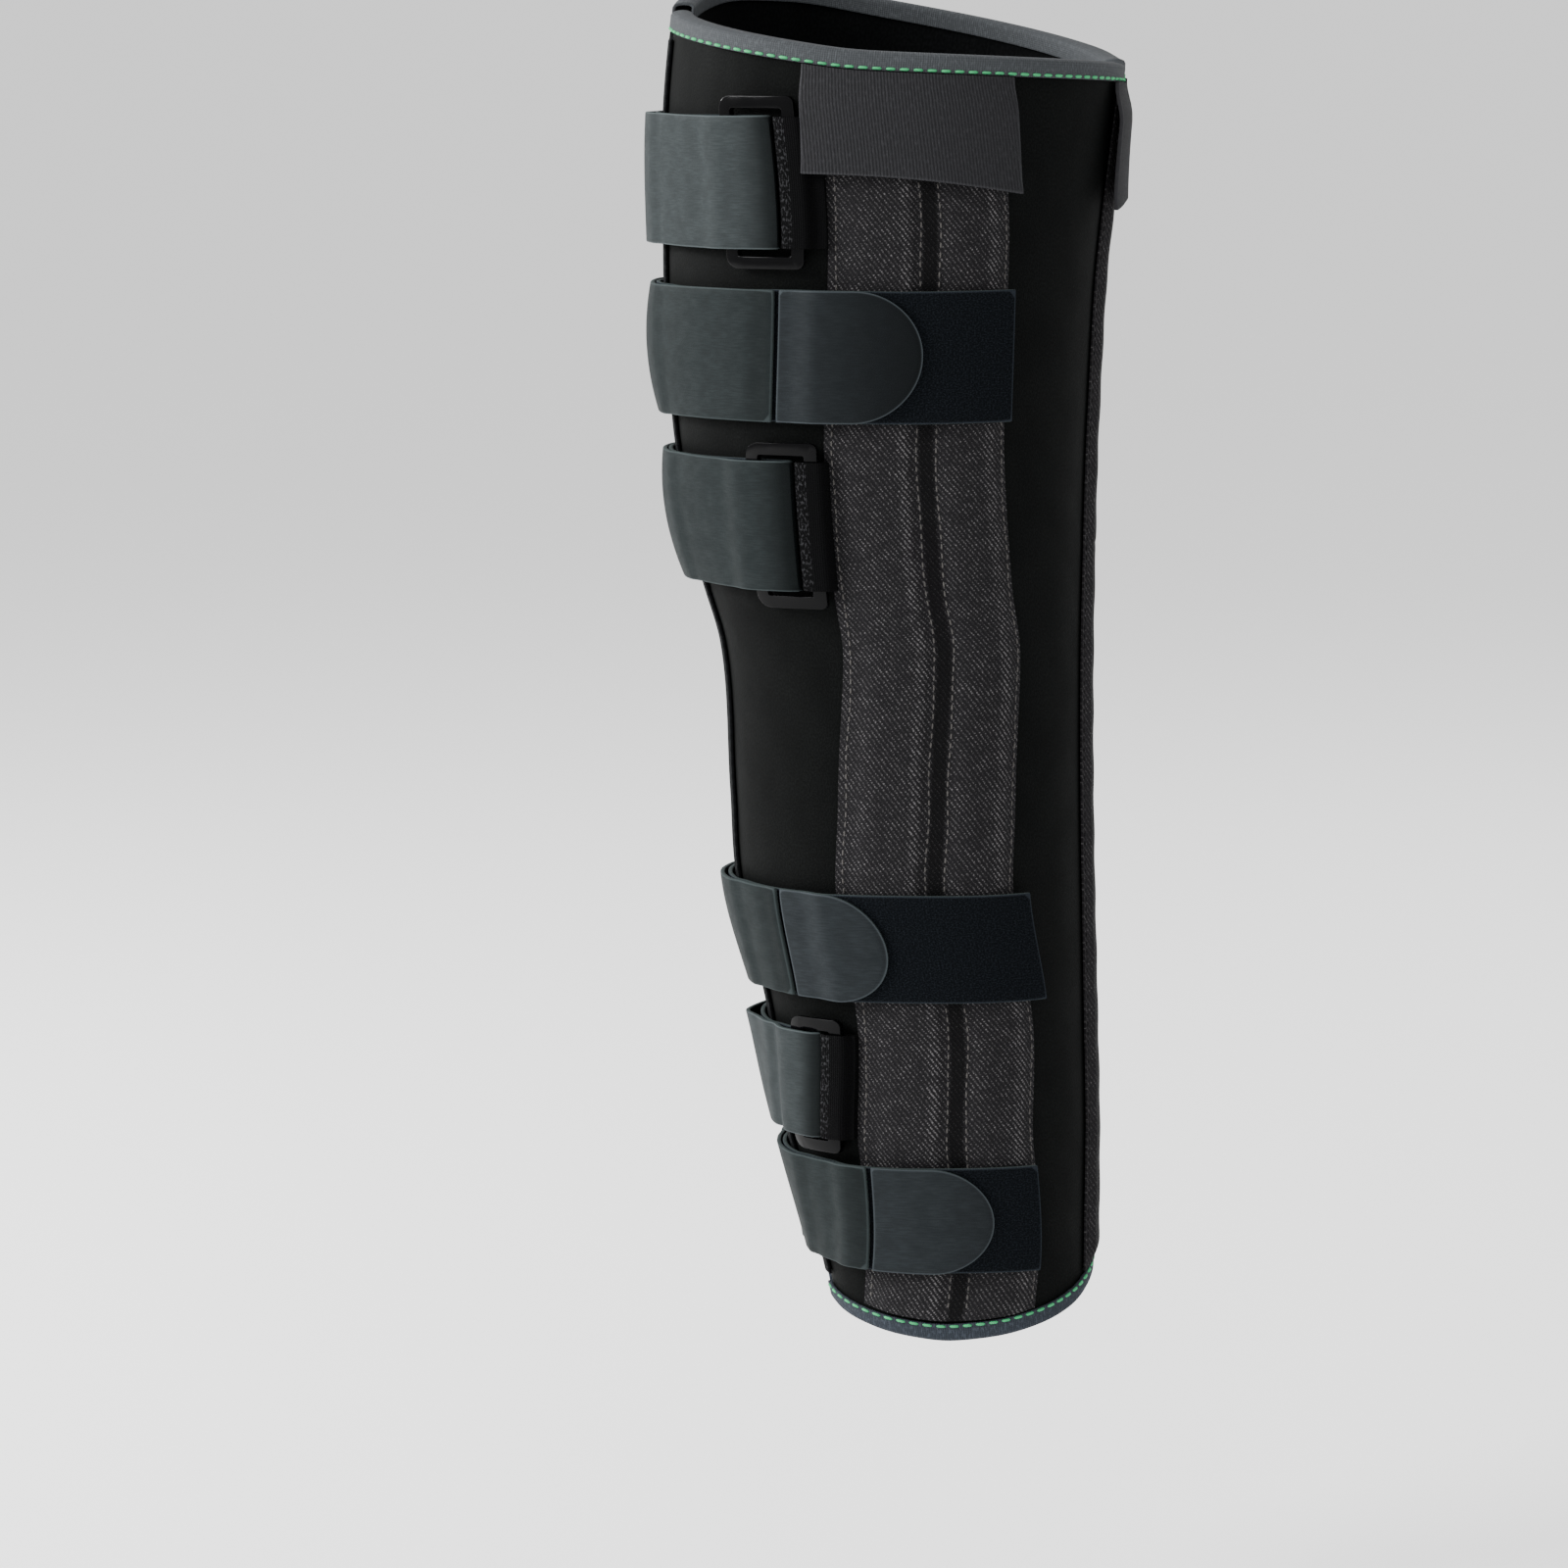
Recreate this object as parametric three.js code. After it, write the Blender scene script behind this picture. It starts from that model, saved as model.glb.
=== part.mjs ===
// Knee immobilizer: a padded wrap that closes round the leg from mid thigh to above the ankle.
// Millimetres, +Z up the leg, -Y to the front, +X to the outer side of a left leg.
// The origin is on the leg's axis at the height of the knee.
// Every piece is laid out on the wrap's outer face: round it in millimetres from the front, up it by
// height, and out from it by standoff.
import * as THREE from "three";

// Overall sizes
const aboveKnee = 238; // knee to the top rim, on the outer side
const belowKnee = 240; // knee to the lowest point of the bottom rim
const thighDepth = 170; // front to back, near the top
const thighWidth = 157; // side to side, near the top
const cornerPower = 2.2; // 2 is an ellipse, more is squarer

// Wrap and its edge tape
const wallThickness = 5.5;
const frontGap = 18;
const tapeThickness = 1.2;
const tapeLeg = 7;
const tapeFit = 0.35;
const brimRise = 25;
const hemLift = 22;

// Stay panels: one woven panel with two stay pockets on each side, a narrower one at the back
const sidePanelWidth = 67;
const backPanelWidth = 52;
const panelThickness = 3.2;
const panelSeat = 0.65;
const panelRimGap = 1.2;

// Flaps over the tops of the stay pockets
const sideFlapHeight = 33;
const backFlapHeight = 41;
const flapThickness = 1.8;
const flapStandoff = 4.8;
const flapLift = 2.2;
const flapFrontOverhang = 7;
const flapBackOverhang = 1;
const backFlapOverhang = 3;
const flapFlare = 2;
const flapSlant = 3;
const flapColumns = 8;
const flapRows = 4;

// Straps, rings and their webbing
const thighStrapWidth = 48.5;
const shinStrapWidth = 41;
const strapThickness = 1.8;
const layerGap = 0.4;
const strapSeat = 0.7;
const rampLength = 12;
const frontRamp = 6;
const tapeClearance = 3.5; // from a front tape to where a strap starts down from it
const panelClearance = 2; // from a panel to where a strap is up to its height
const ringBar = 4.6;
const ringThickness = 3;
const ringClearance = 1.6; // from a ring's far end to where the strap starts down from it
const ringNearCorner = 0.9; // corner radii and edge bevel, as shares of ringBar and ringThickness
const ringFarCorner = 0.45;
const ringBevel = 0.28;
const anchorThickness = 1.4;
const anchorSeat = 0.8;
const anchorEdgeGap = 0.5;
const anchorTurn = 0.6; // how far the outer leg runs level beyond the ring's bar
const tabSeamGap = 0.5;
const tabSeat = 0.2;
const tabEndAngle = 1.45; // where the round end's last chord stands, in radians
const tabEndSteps = 5;
const landingReach = 3.2;
const foldSteps = 4;

// How finely the curved pieces are cut
const wrapColumns = 40;
const strapStep = 11;
const overRingStep = 6;
const strapRows = 2;
const leastStep = 3;
const girthSteps = 180;

// Sections of the wrap: at is a share of the reach above or below the knee, the rest are shares of
// thighDepth and thighWidth. centre is the section's middle, behind the leg's axis.
const sections = [
  { at: -1.02, depth: 0.566, width: 0.582, centre: 0.14 },
  { at: -0.92, depth: 0.592, width: 0.609, centre: 0.125 },
  { at: -0.683, depth: 0.684, width: 0.704, centre: 0.078 },
  { at: -0.492, depth: 0.716, width: 0.737, centre: 0.055 },
  { at: -0.271, depth: 0.78, width: 0.803, centre: 0.014 },
  { at: -0.146, depth: 0.785, width: 0.808, centre: 0.008 },
  { at: 0.088, depth: 0.805, width: 0.828, centre: -0.004 },
  { at: 0.168, depth: 0.841, width: 0.856, centre: -0.021 },
  { at: 0.418, depth: 0.916, width: 0.922, centre: -0.052 },
  { at: 0.672, depth: 0.954, width: 0.961, centre: -0.054 },
  { at: 0.782, depth: 0.969, width: 0.976, centre: -0.046 },
  { at: 0.941, depth: 0.995, width: 1, centre: -0.033 },
  { at: 1.105, depth: 1, width: 1.005, centre: -0.008 },
];

// Top rim: turn runs from the back (-1) over the inner side, the front (0) and the outer side to the
// back (1). rise is a share of brimRise above the rim's height on the outer side.
const topRim = [
  { turn: -1, rise: -0.24 },
  { turn: -0.8, rise: 0.1 },
  { turn: -0.6, rise: 0.5 },
  { turn: -0.35, rise: 0.96 },
  { turn: -0.2, rise: 1 },
  { turn: 0, rise: 0.6 },
  { turn: 0.15, rise: 0.42 },
  { turn: 0.3, rise: 0.19 },
  { turn: 0.43, rise: 0 },
  { turn: 0.73, rise: -0.13 },
  { turn: 1, rise: -0.24 },
];

// Bottom rim: the same on both sides. rise is a share of hemLift above the rim's lowest point.
const bottomRim = [
  { turn: 0, rise: 0.52 },
  { turn: 0.16, rise: 0.28 },
  { turn: 0.31, rise: 0.09 },
  { turn: 0.45, rise: 0 },
  { turn: 0.6, rise: 0.11 },
  { turn: 0.72, rise: 0.3 },
  { turn: 0.82, rise: 0.52 },
  { turn: 0.92, rise: 0.82 },
  { turn: 1, rise: 1 },
];

// Profile across a stay panel: across runs over its width, thick is a share of panelThickness.
const sidePanelProfile = [
  { across: -0.5, thick: 0.3 },
  { across: -0.4, thick: 0.5 },
  { across: -0.33, thick: 1 },
  { across: -0.18, thick: 1 },
  { across: -0.03, thick: 1 },
  { across: 0.03, thick: 0.42 },
  { across: 0.12, thick: 0.42 },
  { across: 0.18, thick: 1 },
  { across: 0.3, thick: 1 },
  { across: 0.43, thick: 1 },
  { across: 0.5, thick: 0.3 },
];
const backPanelProfile = [
  { across: -0.5, thick: 0.3 },
  { across: -0.4, thick: 1 },
  { across: -0.24, thick: 1 },
  { across: -0.07, thick: 1 },
  { across: 0, thick: 0.42 },
  { across: 0.07, thick: 1 },
  { across: 0.24, thick: 1 },
  { across: 0.4, thick: 1 },
  { across: 0.5, thick: 0.3 },
];

// Line of each side panel's middle, behind the leg's axis, as shares of thighDepth
const panelLine = [
  { at: -1, set: 0.106 },
  { at: 1, set: 0.02 },
];

// Straps from the top down. height is a share of the reach. ringSide is 1 where the ring is on the
// outer side. Lengths that follow the strap's width are shares of it: ringLength, ringRoom beside the
// webbing, ringGap from the ring to the panel, foldSet from the ring's far end to the fold, seam from
// the panel's front edge to the tab's seam and tab, the tab's length. padReach is a share of the
// panel's width. topFlare and bottomFlare are shares of strapThickness.
const straps = [
  {
    height: 0.821, width: thighStrapWidth, ringSide: 1, ringLength: 0.565, ringRoom: 0.055, ringGap: 0.24,
    foldSet: 0.19, seam: -1.4, tab: 1.03, padReach: -0.24, topFlare: 0.9, bottomFlare: 0.7,
  },
  {
    height: 0.555, width: thighStrapWidth, ringSide: -1, ringLength: 0.565, ringRoom: 0.055, ringGap: 0.2,
    foldSet: 0.19, seam: -0.45, tab: 1.08, padReach: 0.93, topFlare: 0.3, bottomFlare: 0,
  },
  {
    height: 0.292, width: thighStrapWidth, ringSide: 1, ringLength: 0.5, ringRoom: 0.04, ringGap: 0.15,
    foldSet: 0.19, seam: -0.45, tab: 1.03, padReach: 0.93, topFlare: 0, bottomFlare: 2.2,
  },
  {
    height: -0.369, width: shinStrapWidth, ringSide: -1, ringLength: 0.49, ringRoom: 0.02, ringGap: 0.16,
    foldSet: 0.21, seam: -0.6, tab: 1.04, padReach: 0.97, topFlare: 0.5, bottomFlare: 0,
  },
  {
    height: -0.595, width: shinStrapWidth, ringSide: 1, ringLength: 0.49, ringRoom: 0.02, ringGap: 0.14,
    foldSet: 0.21, seam: -0.3, tab: 1.04, padReach: 0.96, topFlare: 2.2, bottomFlare: 0,
  },
  {
    height: -0.804, width: shinStrapWidth, ringSide: -1, ringLength: 0.45, ringRoom: 0.02, ringGap: 0.12,
    foldSet: 0.21, seam: 0.1, tab: 1.08, padReach: 0.97, topFlare: 0.3, bottomFlare: 0.3,
  },
];

const finishes = {
  wrap: { color: 0x1c1e1c, roughness: 0.85 },
  tape: { color: 0x44464b, roughness: 0.8 },
  panel: { color: 0x2d2a2d, roughness: 0.9 },
  flap: { color: 0x303032, roughness: 0.85 },
  strap: { color: 0x3a4241, roughness: 0.7 },
  tab: { color: 0x3e4243, roughness: 0.65 },
  ring: { color: 0x17171a, roughness: 0.35 },
  anchor: { color: 0x121316, roughness: 0.85 },
};

const immobilizer = new THREE.Group();

// Reads a value from a table by straight lines between its rows.
function fromTable(table, key, value, x) {
  let next = table.findIndex((row, index) => index > 0 && row[key] >= x);
  if (next < 0) next = table.length - 1;
  const low = table[next - 1];
  const high = table[next];
  return THREE.MathUtils.lerp(low[value], high[value], (x - low[key]) / (high[key] - low[key]));
}

// Keeps what a function of a height has given, because many pieces ask for the same heights.
function remembered(work) {
  const known = new Map();
  return (height) => {
    const key = height.toFixed(4);
    if (!known.has(key)) known.set(key, work(height));
    return known.get(key);
  };
}

const reachOf = (share) => share * (share > 0 ? aboveKnee : belowKnee);
const shareOf = (height) => height / (height > 0 ? aboveKnee : belowKnee);

// The wrap is straight between these heights: every strap's edges, and the rows round the knee.
const strapEdges = straps.flatMap(({ height, width }) =>
  [-0.5, 0.5].map((half) => reachOf(height) + half * width));
const kneeRows = [-0.146, 0.088].map(reachOf);
const endRows = [sections[0].at, sections.at(-1).at].map(reachOf);
const innerRows = [...strapEdges, ...kneeRows].sort((a, b) => a - b);
const profile = [endRows[0], ...innerRows, endRows[1]].map((height) => {
  const [depth, width, centre] = ["depth", "width", "centre"].map((value) =>
    fromTable(sections, "at", value, shareOf(height)));
  return { height, depth: depth * thighDepth, width: width * thighWidth, centre: centre * thighDepth };
});

// A point of the section at a height, by its angle from the front, and the way out from the wall there.
function sectionPoint(height, angle) {
  const [depth, width, centre] = ["depth", "width", "centre"].map((value) =>
    fromTable(profile, "height", value, height));
  const bend = (wave) => Math.sign(wave) * Math.abs(wave) ** (2 / cornerPower);
  const across = bend(Math.sin(angle));
  const ahead = -bend(Math.cos(angle));
  const steep = (share) => Math.sign(share) * Math.abs(share) ** (cornerPower - 1);
  return {
    point: new THREE.Vector3((across * width) / 2, centre + (ahead * depth) / 2, height),
    out: new THREE.Vector3(steep(across) / width, steep(ahead) / depth, 0).normalize(),
  };
}

// Distances round half of the section at a height, for evenly spaced angles.
const girthAt = remembered((height) => {
  const lengths = [{ angle: 0, length: 0, behind: sectionPoint(height, 0).point.y }];
  let last = sectionPoint(height, 0).point;
  for (let step = 1; step <= girthSteps; step += 1) {
    const angle = (Math.PI * step) / girthSteps;
    const { point } = sectionPoint(height, angle);
    lengths.push({ angle, length: lengths.at(-1).length + point.distanceTo(last), behind: point.y });
    last = point;
  }
  return lengths;
});

const halfGirth = (height) => girthAt(height).at(-1).length;

// The point at a distance round the wrap from its front, at a height, standing off from its outer face.
function onWall(round, height, standoff) {
  const angle = fromTable(girthAt(height), "length", "angle", Math.abs(round)) * Math.sign(round);
  const { point, out } = sectionPoint(height, angle);
  return point.addScaledVector(out, standoff);
}

const topAt = (turn) => aboveKnee + brimRise * fromTable(topRim, "turn", "rise", turn);
const bottomAt = (turn) => -belowKnee + hemLift * fromTable(bottomRim, "turn", "rise", Math.abs(turn));

// A closed solid through loops of points. Each loop lists one face from edge to edge and then the
// other face back, so that its two halves pair up across the wall. A ring of loops has no ends.
function solidThrough(loops, isRing = false) {
  const size = loops[0].length;
  const positions = loops.flat().flatMap((point) => point.toArray());
  const indices = [];
  const quad = (a, b, c, d) => indices.push(a, b, c, a, c, d);
  const spans = isRing ? loops.length : loops.length - 1;
  for (let span = 0; span < spans; span += 1) {
    const here = span * size;
    const there = ((span + 1) % loops.length) * size;
    for (let side = 0; side < size; side += 1) {
      const next = (side + 1) % size;
      quad(here + side, here + next, there + next, there + side);
    }
  }
  if (!isRing) {
    const last = (loops.length - 1) * size;
    for (let side = 0; side < size / 2 - 1; side += 1) {
      const pair = size - 1 - side;
      quad(side, pair, pair - 1, side + 1);
      quad(last + side, last + side + 1, last + pair - 1, last + pair);
    }
  }
  const geometry = new THREE.BufferGeometry();
  geometry.setAttribute("position", new THREE.Float32BufferAttribute(positions, 3));
  geometry.setIndex(indices);
  if (volumeOf(geometry) < 0) geometry.setIndex(indices.reverse());
  geometry.computeVertexNormals();
  return geometry;
}

function volumeOf(geometry) {
  const { position } = geometry.attributes;
  const corners = geometry.index.array;
  const [a, b, c] = [new THREE.Vector3(), new THREE.Vector3(), new THREE.Vector3()];
  let volume = 0;
  for (let corner = 0; corner < corners.length; corner += 3) {
    [a, b, c].forEach((point, offset) => point.fromBufferAttribute(position, corners[corner + offset]));
    volume += a.dot(b.cross(c)) / 6;
  }
  return volume;
}

function addPiece(name, geometry, finish) {
  const mesh = new THREE.Mesh(geometry, new THREE.MeshStandardMaterial({ ...finish, metalness: 0 }));
  mesh.name = name;
  immobilizer.add(mesh);
}

// Evenly spread values from one number to another, in steps no longer than the one given.
function spread(from, to, longest) {
  const count = Math.max(1, Math.ceil(Math.abs(to - from) / longest - 1e-6));
  return Array.from({ length: count + 1 }, (_, index) => THREE.MathUtils.lerp(from, to, index / count));
}

// Where a column of the wrap stands, as a share of half the girth: 0 and 1 are its two front edges.
function wrapTurn(share, height) {
  const edge = frontGap / 2 / halfGirth(height);
  return share < 0.5
    ? THREE.MathUtils.lerp(edge, 1, share * 2)
    : THREE.MathUtils.lerp(-1, -edge, share * 2 - 1);
}

function roundAt(share, height) {
  return wrapTurn(share, height) * halfGirth(height);
}

const columnShares = Array.from({ length: wrapColumns + 1 }, (_, index) => index / wrapColumns);

const rims = {
  top: (share) => topAt(wrapTurn(share, aboveKnee)),
  bottom: (share) => bottomAt(wrapTurn(share, -belowKnee)),
};

function addWrap() {
  const loops = columnShares.map((share) => {
    const heights = [rims.bottom(share), ...innerRows, rims.top(share)];
    const face = (standoff) => heights.map((height) => onWall(roundAt(share, height), height, standoff));
    return [...face(0), ...face(-wallThickness).reverse()];
  });
  addPiece("wrap", solidThrough(loops), finishes.wrap);
}

// Section of the folded edge tape, as steps beyond the wall's edge and out from the wall's outer face.
function tapeSection() {
  const outer = tapeFit + tapeThickness;
  const inner = -wallThickness - tapeFit;
  return [
    [-tapeLeg, tapeFit],
    [tapeFit, tapeFit],
    [tapeFit, inner],
    [-tapeLeg, inner],
    [-tapeLeg, inner - tapeThickness],
    [outer, inner - tapeThickness],
    [outer, outer],
    [-tapeLeg, outer],
  ];
}

function addRimTape(name, rimAt, upward) {
  const loops = columnShares.map((share) =>
    tapeSection().map(([beyond, standoff]) => {
      const height = rimAt(share) + upward * beyond;
      return onWall(roundAt(share, height), height, standoff);
    }));
  addPiece(name, solidThrough(loops), finishes.tape);
}

function addFrontTape(name, side) {
  const share = side > 0 ? 0 : 1;
  const inset = tapeFit + tapeThickness + tapeFit;
  const low = rims.bottom(share) + tapeLeg + inset;
  const high = rims.top(share) - tapeLeg - inset;
  const heights = [low, ...innerRows.filter((height) => height > low && height < high), high];
  const loops = heights.map((height) =>
    tapeSection().map(([beyond, standoff]) => onWall(side * (frontGap / 2 - beyond), height, standoff)));
  addPiece(name, solidThrough(loops), finishes.tape);
}

// Distance round the wrap, at a height, of the middle of a side panel.
const panelMiddle = remembered((height) => {
  const behind = thighDepth * fromTable(panelLine, "at", "set", shareOf(height));
  return fromTable(girthAt(height), "behind", "length", behind);
});

const panelFront = (height) => panelMiddle(height) - sidePanelWidth / 2;
const panelBack = (height) => panelMiddle(height) + sidePanelWidth / 2;

// A stay panel: middleAt gives the distance round of its middle, and side is -1 to mirror it.
function addPanel(name, middleAt, width, table, side) {
  const turnAt = (round, height) => {
    const turn = (side * round) / halfGirth(height);
    return Math.abs(turn) > 1 ? turn - 2 * Math.sign(turn) : turn;
  };
  const loops = table.map(({ across, thick }) => {
    const roundOf = (height) => middleAt(height) + across * width;
    const low = bottomAt(turnAt(roundOf(-belowKnee), -belowKnee)) + tapeLeg + panelRimGap;
    const high = topAt(turnAt(roundOf(aboveKnee), aboveKnee)) - tapeLeg - panelRimGap;
    const heights = [low, ...innerRows, high];
    const face = (standoff) => heights.map((height) => wrapRound(side * roundOf(height), height, standoff));
    return [...face(panelSeat), ...face(panelSeat + thick * panelThickness).reverse()];
  });
  addPiece(name, solidThrough(loops), finishes.panel);
}

// As onWall, for distances that run on past the back.
function wrapRound(round, height, standoff) {
  const half = halfGirth(height);
  return onWall(Math.abs(round) > half ? round - 2 * half * Math.sign(round) : round, height, standoff);
}

// A flap: its top lies under the rim's tape and its lower edge stands off the wall.
function addFlap(name, middleAt, frontEdge, backEdge, drop, slant, side) {
  const columns = spread(0, 1, 1 / flapColumns);
  const rows = spread(0, 1, 1 / flapRows);
  const loops = columns.map((column) => {
    const topHeight = (height) => {
      const round = middleAt(height) + THREE.MathUtils.lerp(frontEdge, backEdge, column);
      const turn = (side * round) / halfGirth(height);
      return topAt(Math.abs(turn) > 1 ? turn - 2 * Math.sign(turn) : turn) - tapeLeg - panelRimGap;
    };
    const high = topHeight(aboveKnee);
    const low = high - drop - slant * column;
    const face = (lower) => rows.map((row) => {
      const height = THREE.MathUtils.lerp(low, high, row);
      const flare = flapFlare * (1 - row) * (1 - column);
      const round = middleAt(height) + THREE.MathUtils.lerp(frontEdge, backEdge, column) - flare;
      const lift = flapStandoff + flapLift * (1 - row) ** 2;
      return wrapRound(side * round, height, lift + (lower ? 0 : flapThickness));
    });
    return [...face(true), ...face(false).reverse()];
  });
  addPiece(name, solidThrough(loops), finishes.flap);
}

// A point of a strap or its ring. Distances round are those at the strap's middle height, and away from
// the front they keep their place beside the panel's edge at every other height.
function onStrap(strap, place, round, height, standoff) {
  const shift = panelFront(height) - panelFront(place.height);
  const kept = Math.sign(round) * THREE.MathUtils.smoothstep(Math.abs(round), 0, place.ringStart);
  return onWall(strap.ringSide * (round + shift * kept), height, standoff);
}

// A flat band whose middle follows a path of distances round and standoffs, as wide as the strap.
function bandAlong(path, thickness, strap, place, rows) {
  const heights = spread(place.low, place.high, strap.width / rows);
  const loops = path.map((here, index) => {
    const before = path[Math.max(index - 1, 0)];
    const after = path[Math.min(index + 1, path.length - 1)];
    const first = new THREE.Vector2(here.round - before.round, here.out - before.out).normalize();
    const second = new THREE.Vector2(after.round - here.round, after.out - here.out).normalize();
    const along = first.clone().add(second).normalize();
    const miter = Math.max(along.dot(second.length() > 0 ? second : first), 0.5);
    const half = thickness / 2 / miter;
    const corner = (height, sign) => {
      const up = (height - place.low) / strap.width;
      const flare = THREE.MathUtils.lerp(here.bottomFlare ?? 0, here.topFlare ?? 0, up);
      const round = here.round - sign * half * along.y;
      return onStrap(strap, place, round, height, here.out + flare + sign * half * along.x);
    };
    const face = (sign) => heights.map((height) => corner(height, sign));
    return [...face(-1), ...face(1).reverse()];
  });
  return solidThrough(loops);
}

const tapeEdge = frontGap / 2 + tapeLeg + tapeFit + tapeClearance;

// What a strap's layers climb over: the front edge tapes, and the panel on the side of the tab.
function climbAt(round, height) {
  const tapeTop = tapeFit + tapeThickness;
  const front = tapeTop * (1 - THREE.MathUtils.smoothstep(Math.abs(round), tapeEdge, tapeEdge + frontRamp));
  const edge = panelFront(height) - panelClearance;
  const panel = (panelSeat + panelThickness) * THREE.MathUtils.smoothstep(-round, edge - rampLength, edge);
  return front + panel;
}

function climbStops(height) {
  const edge = panelFront(height) - panelClearance;
  const ends = [-edge, -edge + rampLength / 2, -edge + rampLength];
  return [...ends, -tapeEdge - frontRamp, -tapeEdge, tapeEdge, tapeEdge + frontRamp];
}

// The distances round at which a layer is cut, from one end to the other.
function stations(from, to, height) {
  const between = climbStops(height).filter((stop) => stop > from + leastStep && stop < to - leastStep);
  const stops = [from, ...between, to];
  const stretches = between.concat(to).map((stop, index) => spread(stops[index], stop, strapStep));
  return [from, ...stretches.flatMap((stretch) => stretch.slice(1))];
}

// All the places of one strap and what belongs to it, as distances round towards its ring.
function layOut(strap) {
  const height = reachOf(strap.height);
  const ringEnd = panelFront(height) - strap.ringGap * strap.width;
  const ringStart = ringEnd - strap.ringLength * strap.width;
  const fold = ringEnd - strap.foldSet * strap.width;
  const seam = panelFront(height) + strap.seam * strap.width;
  return {
    height,
    low: height - strap.width / 2,
    high: height + strap.width / 2,
    ringStart,
    ringEnd,
    fold,
    seam,
    tabEnd: seam + strap.tab * strap.width,
    padEnd: panelFront(height) + strap.padReach * sidePanelWidth,
  };
}

const baseOut = strapSeat + strapThickness / 2;
const returnOut = baseOut + strapThickness + layerGap;
const ringOut = strapSeat + strapThickness + layerGap + ringThickness / 2;
const overRingOut = ringOut + ringThickness / 2 + layerGap + strapThickness / 2;

function addStrap(name, strap, place) {
  const { height } = place;
  const foldRadius = (overRingOut - baseOut) / 2;
  const foldMiddle = place.fold - foldRadius - strapThickness / 2;
  const climbDown = place.ringStart - ringClearance;
  const base = stations(-place.padEnd, foldMiddle, height).map((round) => ({
    round,
    out: baseOut + climbAt(round, height),
  }));
  const fold = spread(-Math.PI / 2, Math.PI / 2, Math.PI / foldSteps).slice(1, -1).map((angle) => ({
    round: foldMiddle + foldRadius * Math.cos(angle),
    out: baseOut + foldRadius + foldRadius * Math.sin(angle),
  }));
  const overRing = spread(foldMiddle, climbDown, overRingStep).map((round) => ({ round, out: overRingOut }));
  const outer = stations(-place.seam, climbDown - rampLength, height).reverse().map((round) => {
    const share = 1 - THREE.MathUtils.smoothstep(Math.abs(round), 0, climbDown - rampLength);
    return {
      round,
      out: returnOut + climbAt(round, height),
      topFlare: strap.topFlare * strapThickness * share,
      bottomFlare: strap.bottomFlare * strapThickness * share,
    };
  });
  const path = [...base, ...fold, ...overRing, ...outer];
  addPiece(name, bandAlong(path, strapThickness, strap, place, strapRows), finishes.strap);
}

// The tab sewn to the strap's end: it goes on from the strap's outer layer and has a round end.
function addTab(name, strap, place) {
  const { height } = place;
  const radius = strap.width / 2;
  const quarter = Math.PI / 2;
  const round = spread(0, quarter, quarter / tabEndSteps).map((turn) => {
    const angle = Math.min(turn, tabEndAngle);
    return { reach: place.tabEnd - radius + radius * Math.sin(angle), half: radius * Math.cos(angle) };
  });
  const straight = stations(-(place.tabEnd - radius), -(place.seam + tabSeamGap), height)
    .reverse()
    .slice(0, -1)
    .map((reach) => ({ reach: -reach, half: radius }));
  const loops = [...straight, ...round].map(({ reach, half }) => {
    const out = returnOut - strapThickness / 2 + tabSeat + climbAt(-reach, height);
    const corner = (end, sign) =>
      onStrap(strap, place, -reach, height + end * half, out + (sign > 0 ? strapThickness : 0));
    return [corner(-1, -1), corner(1, -1), corner(1, 1), corner(-1, 1)];
  });
  addPiece(name, solidThrough(loops), finishes.tab);
}

// The ring: a rounded oblong frame that lies along the wall over the strap's base layer.
function addRing(name, strap, place) {
  const halfHeight = strap.width * (0.5 + strap.ringRoom) + ringBar / 2;
  const middle = (place.ringStart + place.ringEnd) / 2;
  const halfLength = (place.ringEnd - place.ringStart - ringBar) / 2;
  const nearCorner = ringBar * ringNearCorner;
  const farCorner = ringBar * ringFarCorner;
  const corners = [
    { x: halfLength, y: halfHeight, radius: farCorner, from: 0 },
    { x: -halfLength, y: halfHeight, radius: nearCorner, from: 1 },
    { x: -halfLength, y: -halfHeight, radius: nearCorner, from: 2 },
    { x: halfLength, y: -halfHeight, radius: farCorner, from: 3 },
  ];
  const line = corners.flatMap(({ x, y, radius, from }) =>
    spread(0, Math.PI / 2, Math.PI / 4).map((turn) => {
      const angle = (from * Math.PI) / 2 + turn;
      const out = new THREE.Vector2(Math.cos(angle), Math.sin(angle));
      const centre = new THREE.Vector2(x - Math.sign(x) * radius, y - Math.sign(y) * radius);
      return { at: centre.addScaledVector(out, radius), out };
    }));
  const bevel = ringThickness * ringBevel;
  const section = [
    [-ringBar / 2, -ringThickness / 2 + bevel],
    [-ringBar / 2, ringThickness / 2 - bevel],
    [-ringBar / 2 + bevel, ringThickness / 2],
    [ringBar / 2 - bevel, ringThickness / 2],
    [ringBar / 2, ringThickness / 2 - bevel],
    [ringBar / 2, -ringThickness / 2],
  ];
  const loops = line.map(({ at, out }) =>
    section.map(([aside, up]) => {
      const round = middle + at.x + out.x * aside;
      return onStrap(strap, place, round, place.height + at.y + out.y * aside, ringOut + up);
    }));
  addPiece(name, solidThrough(loops, true), finishes.ring);
}

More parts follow.
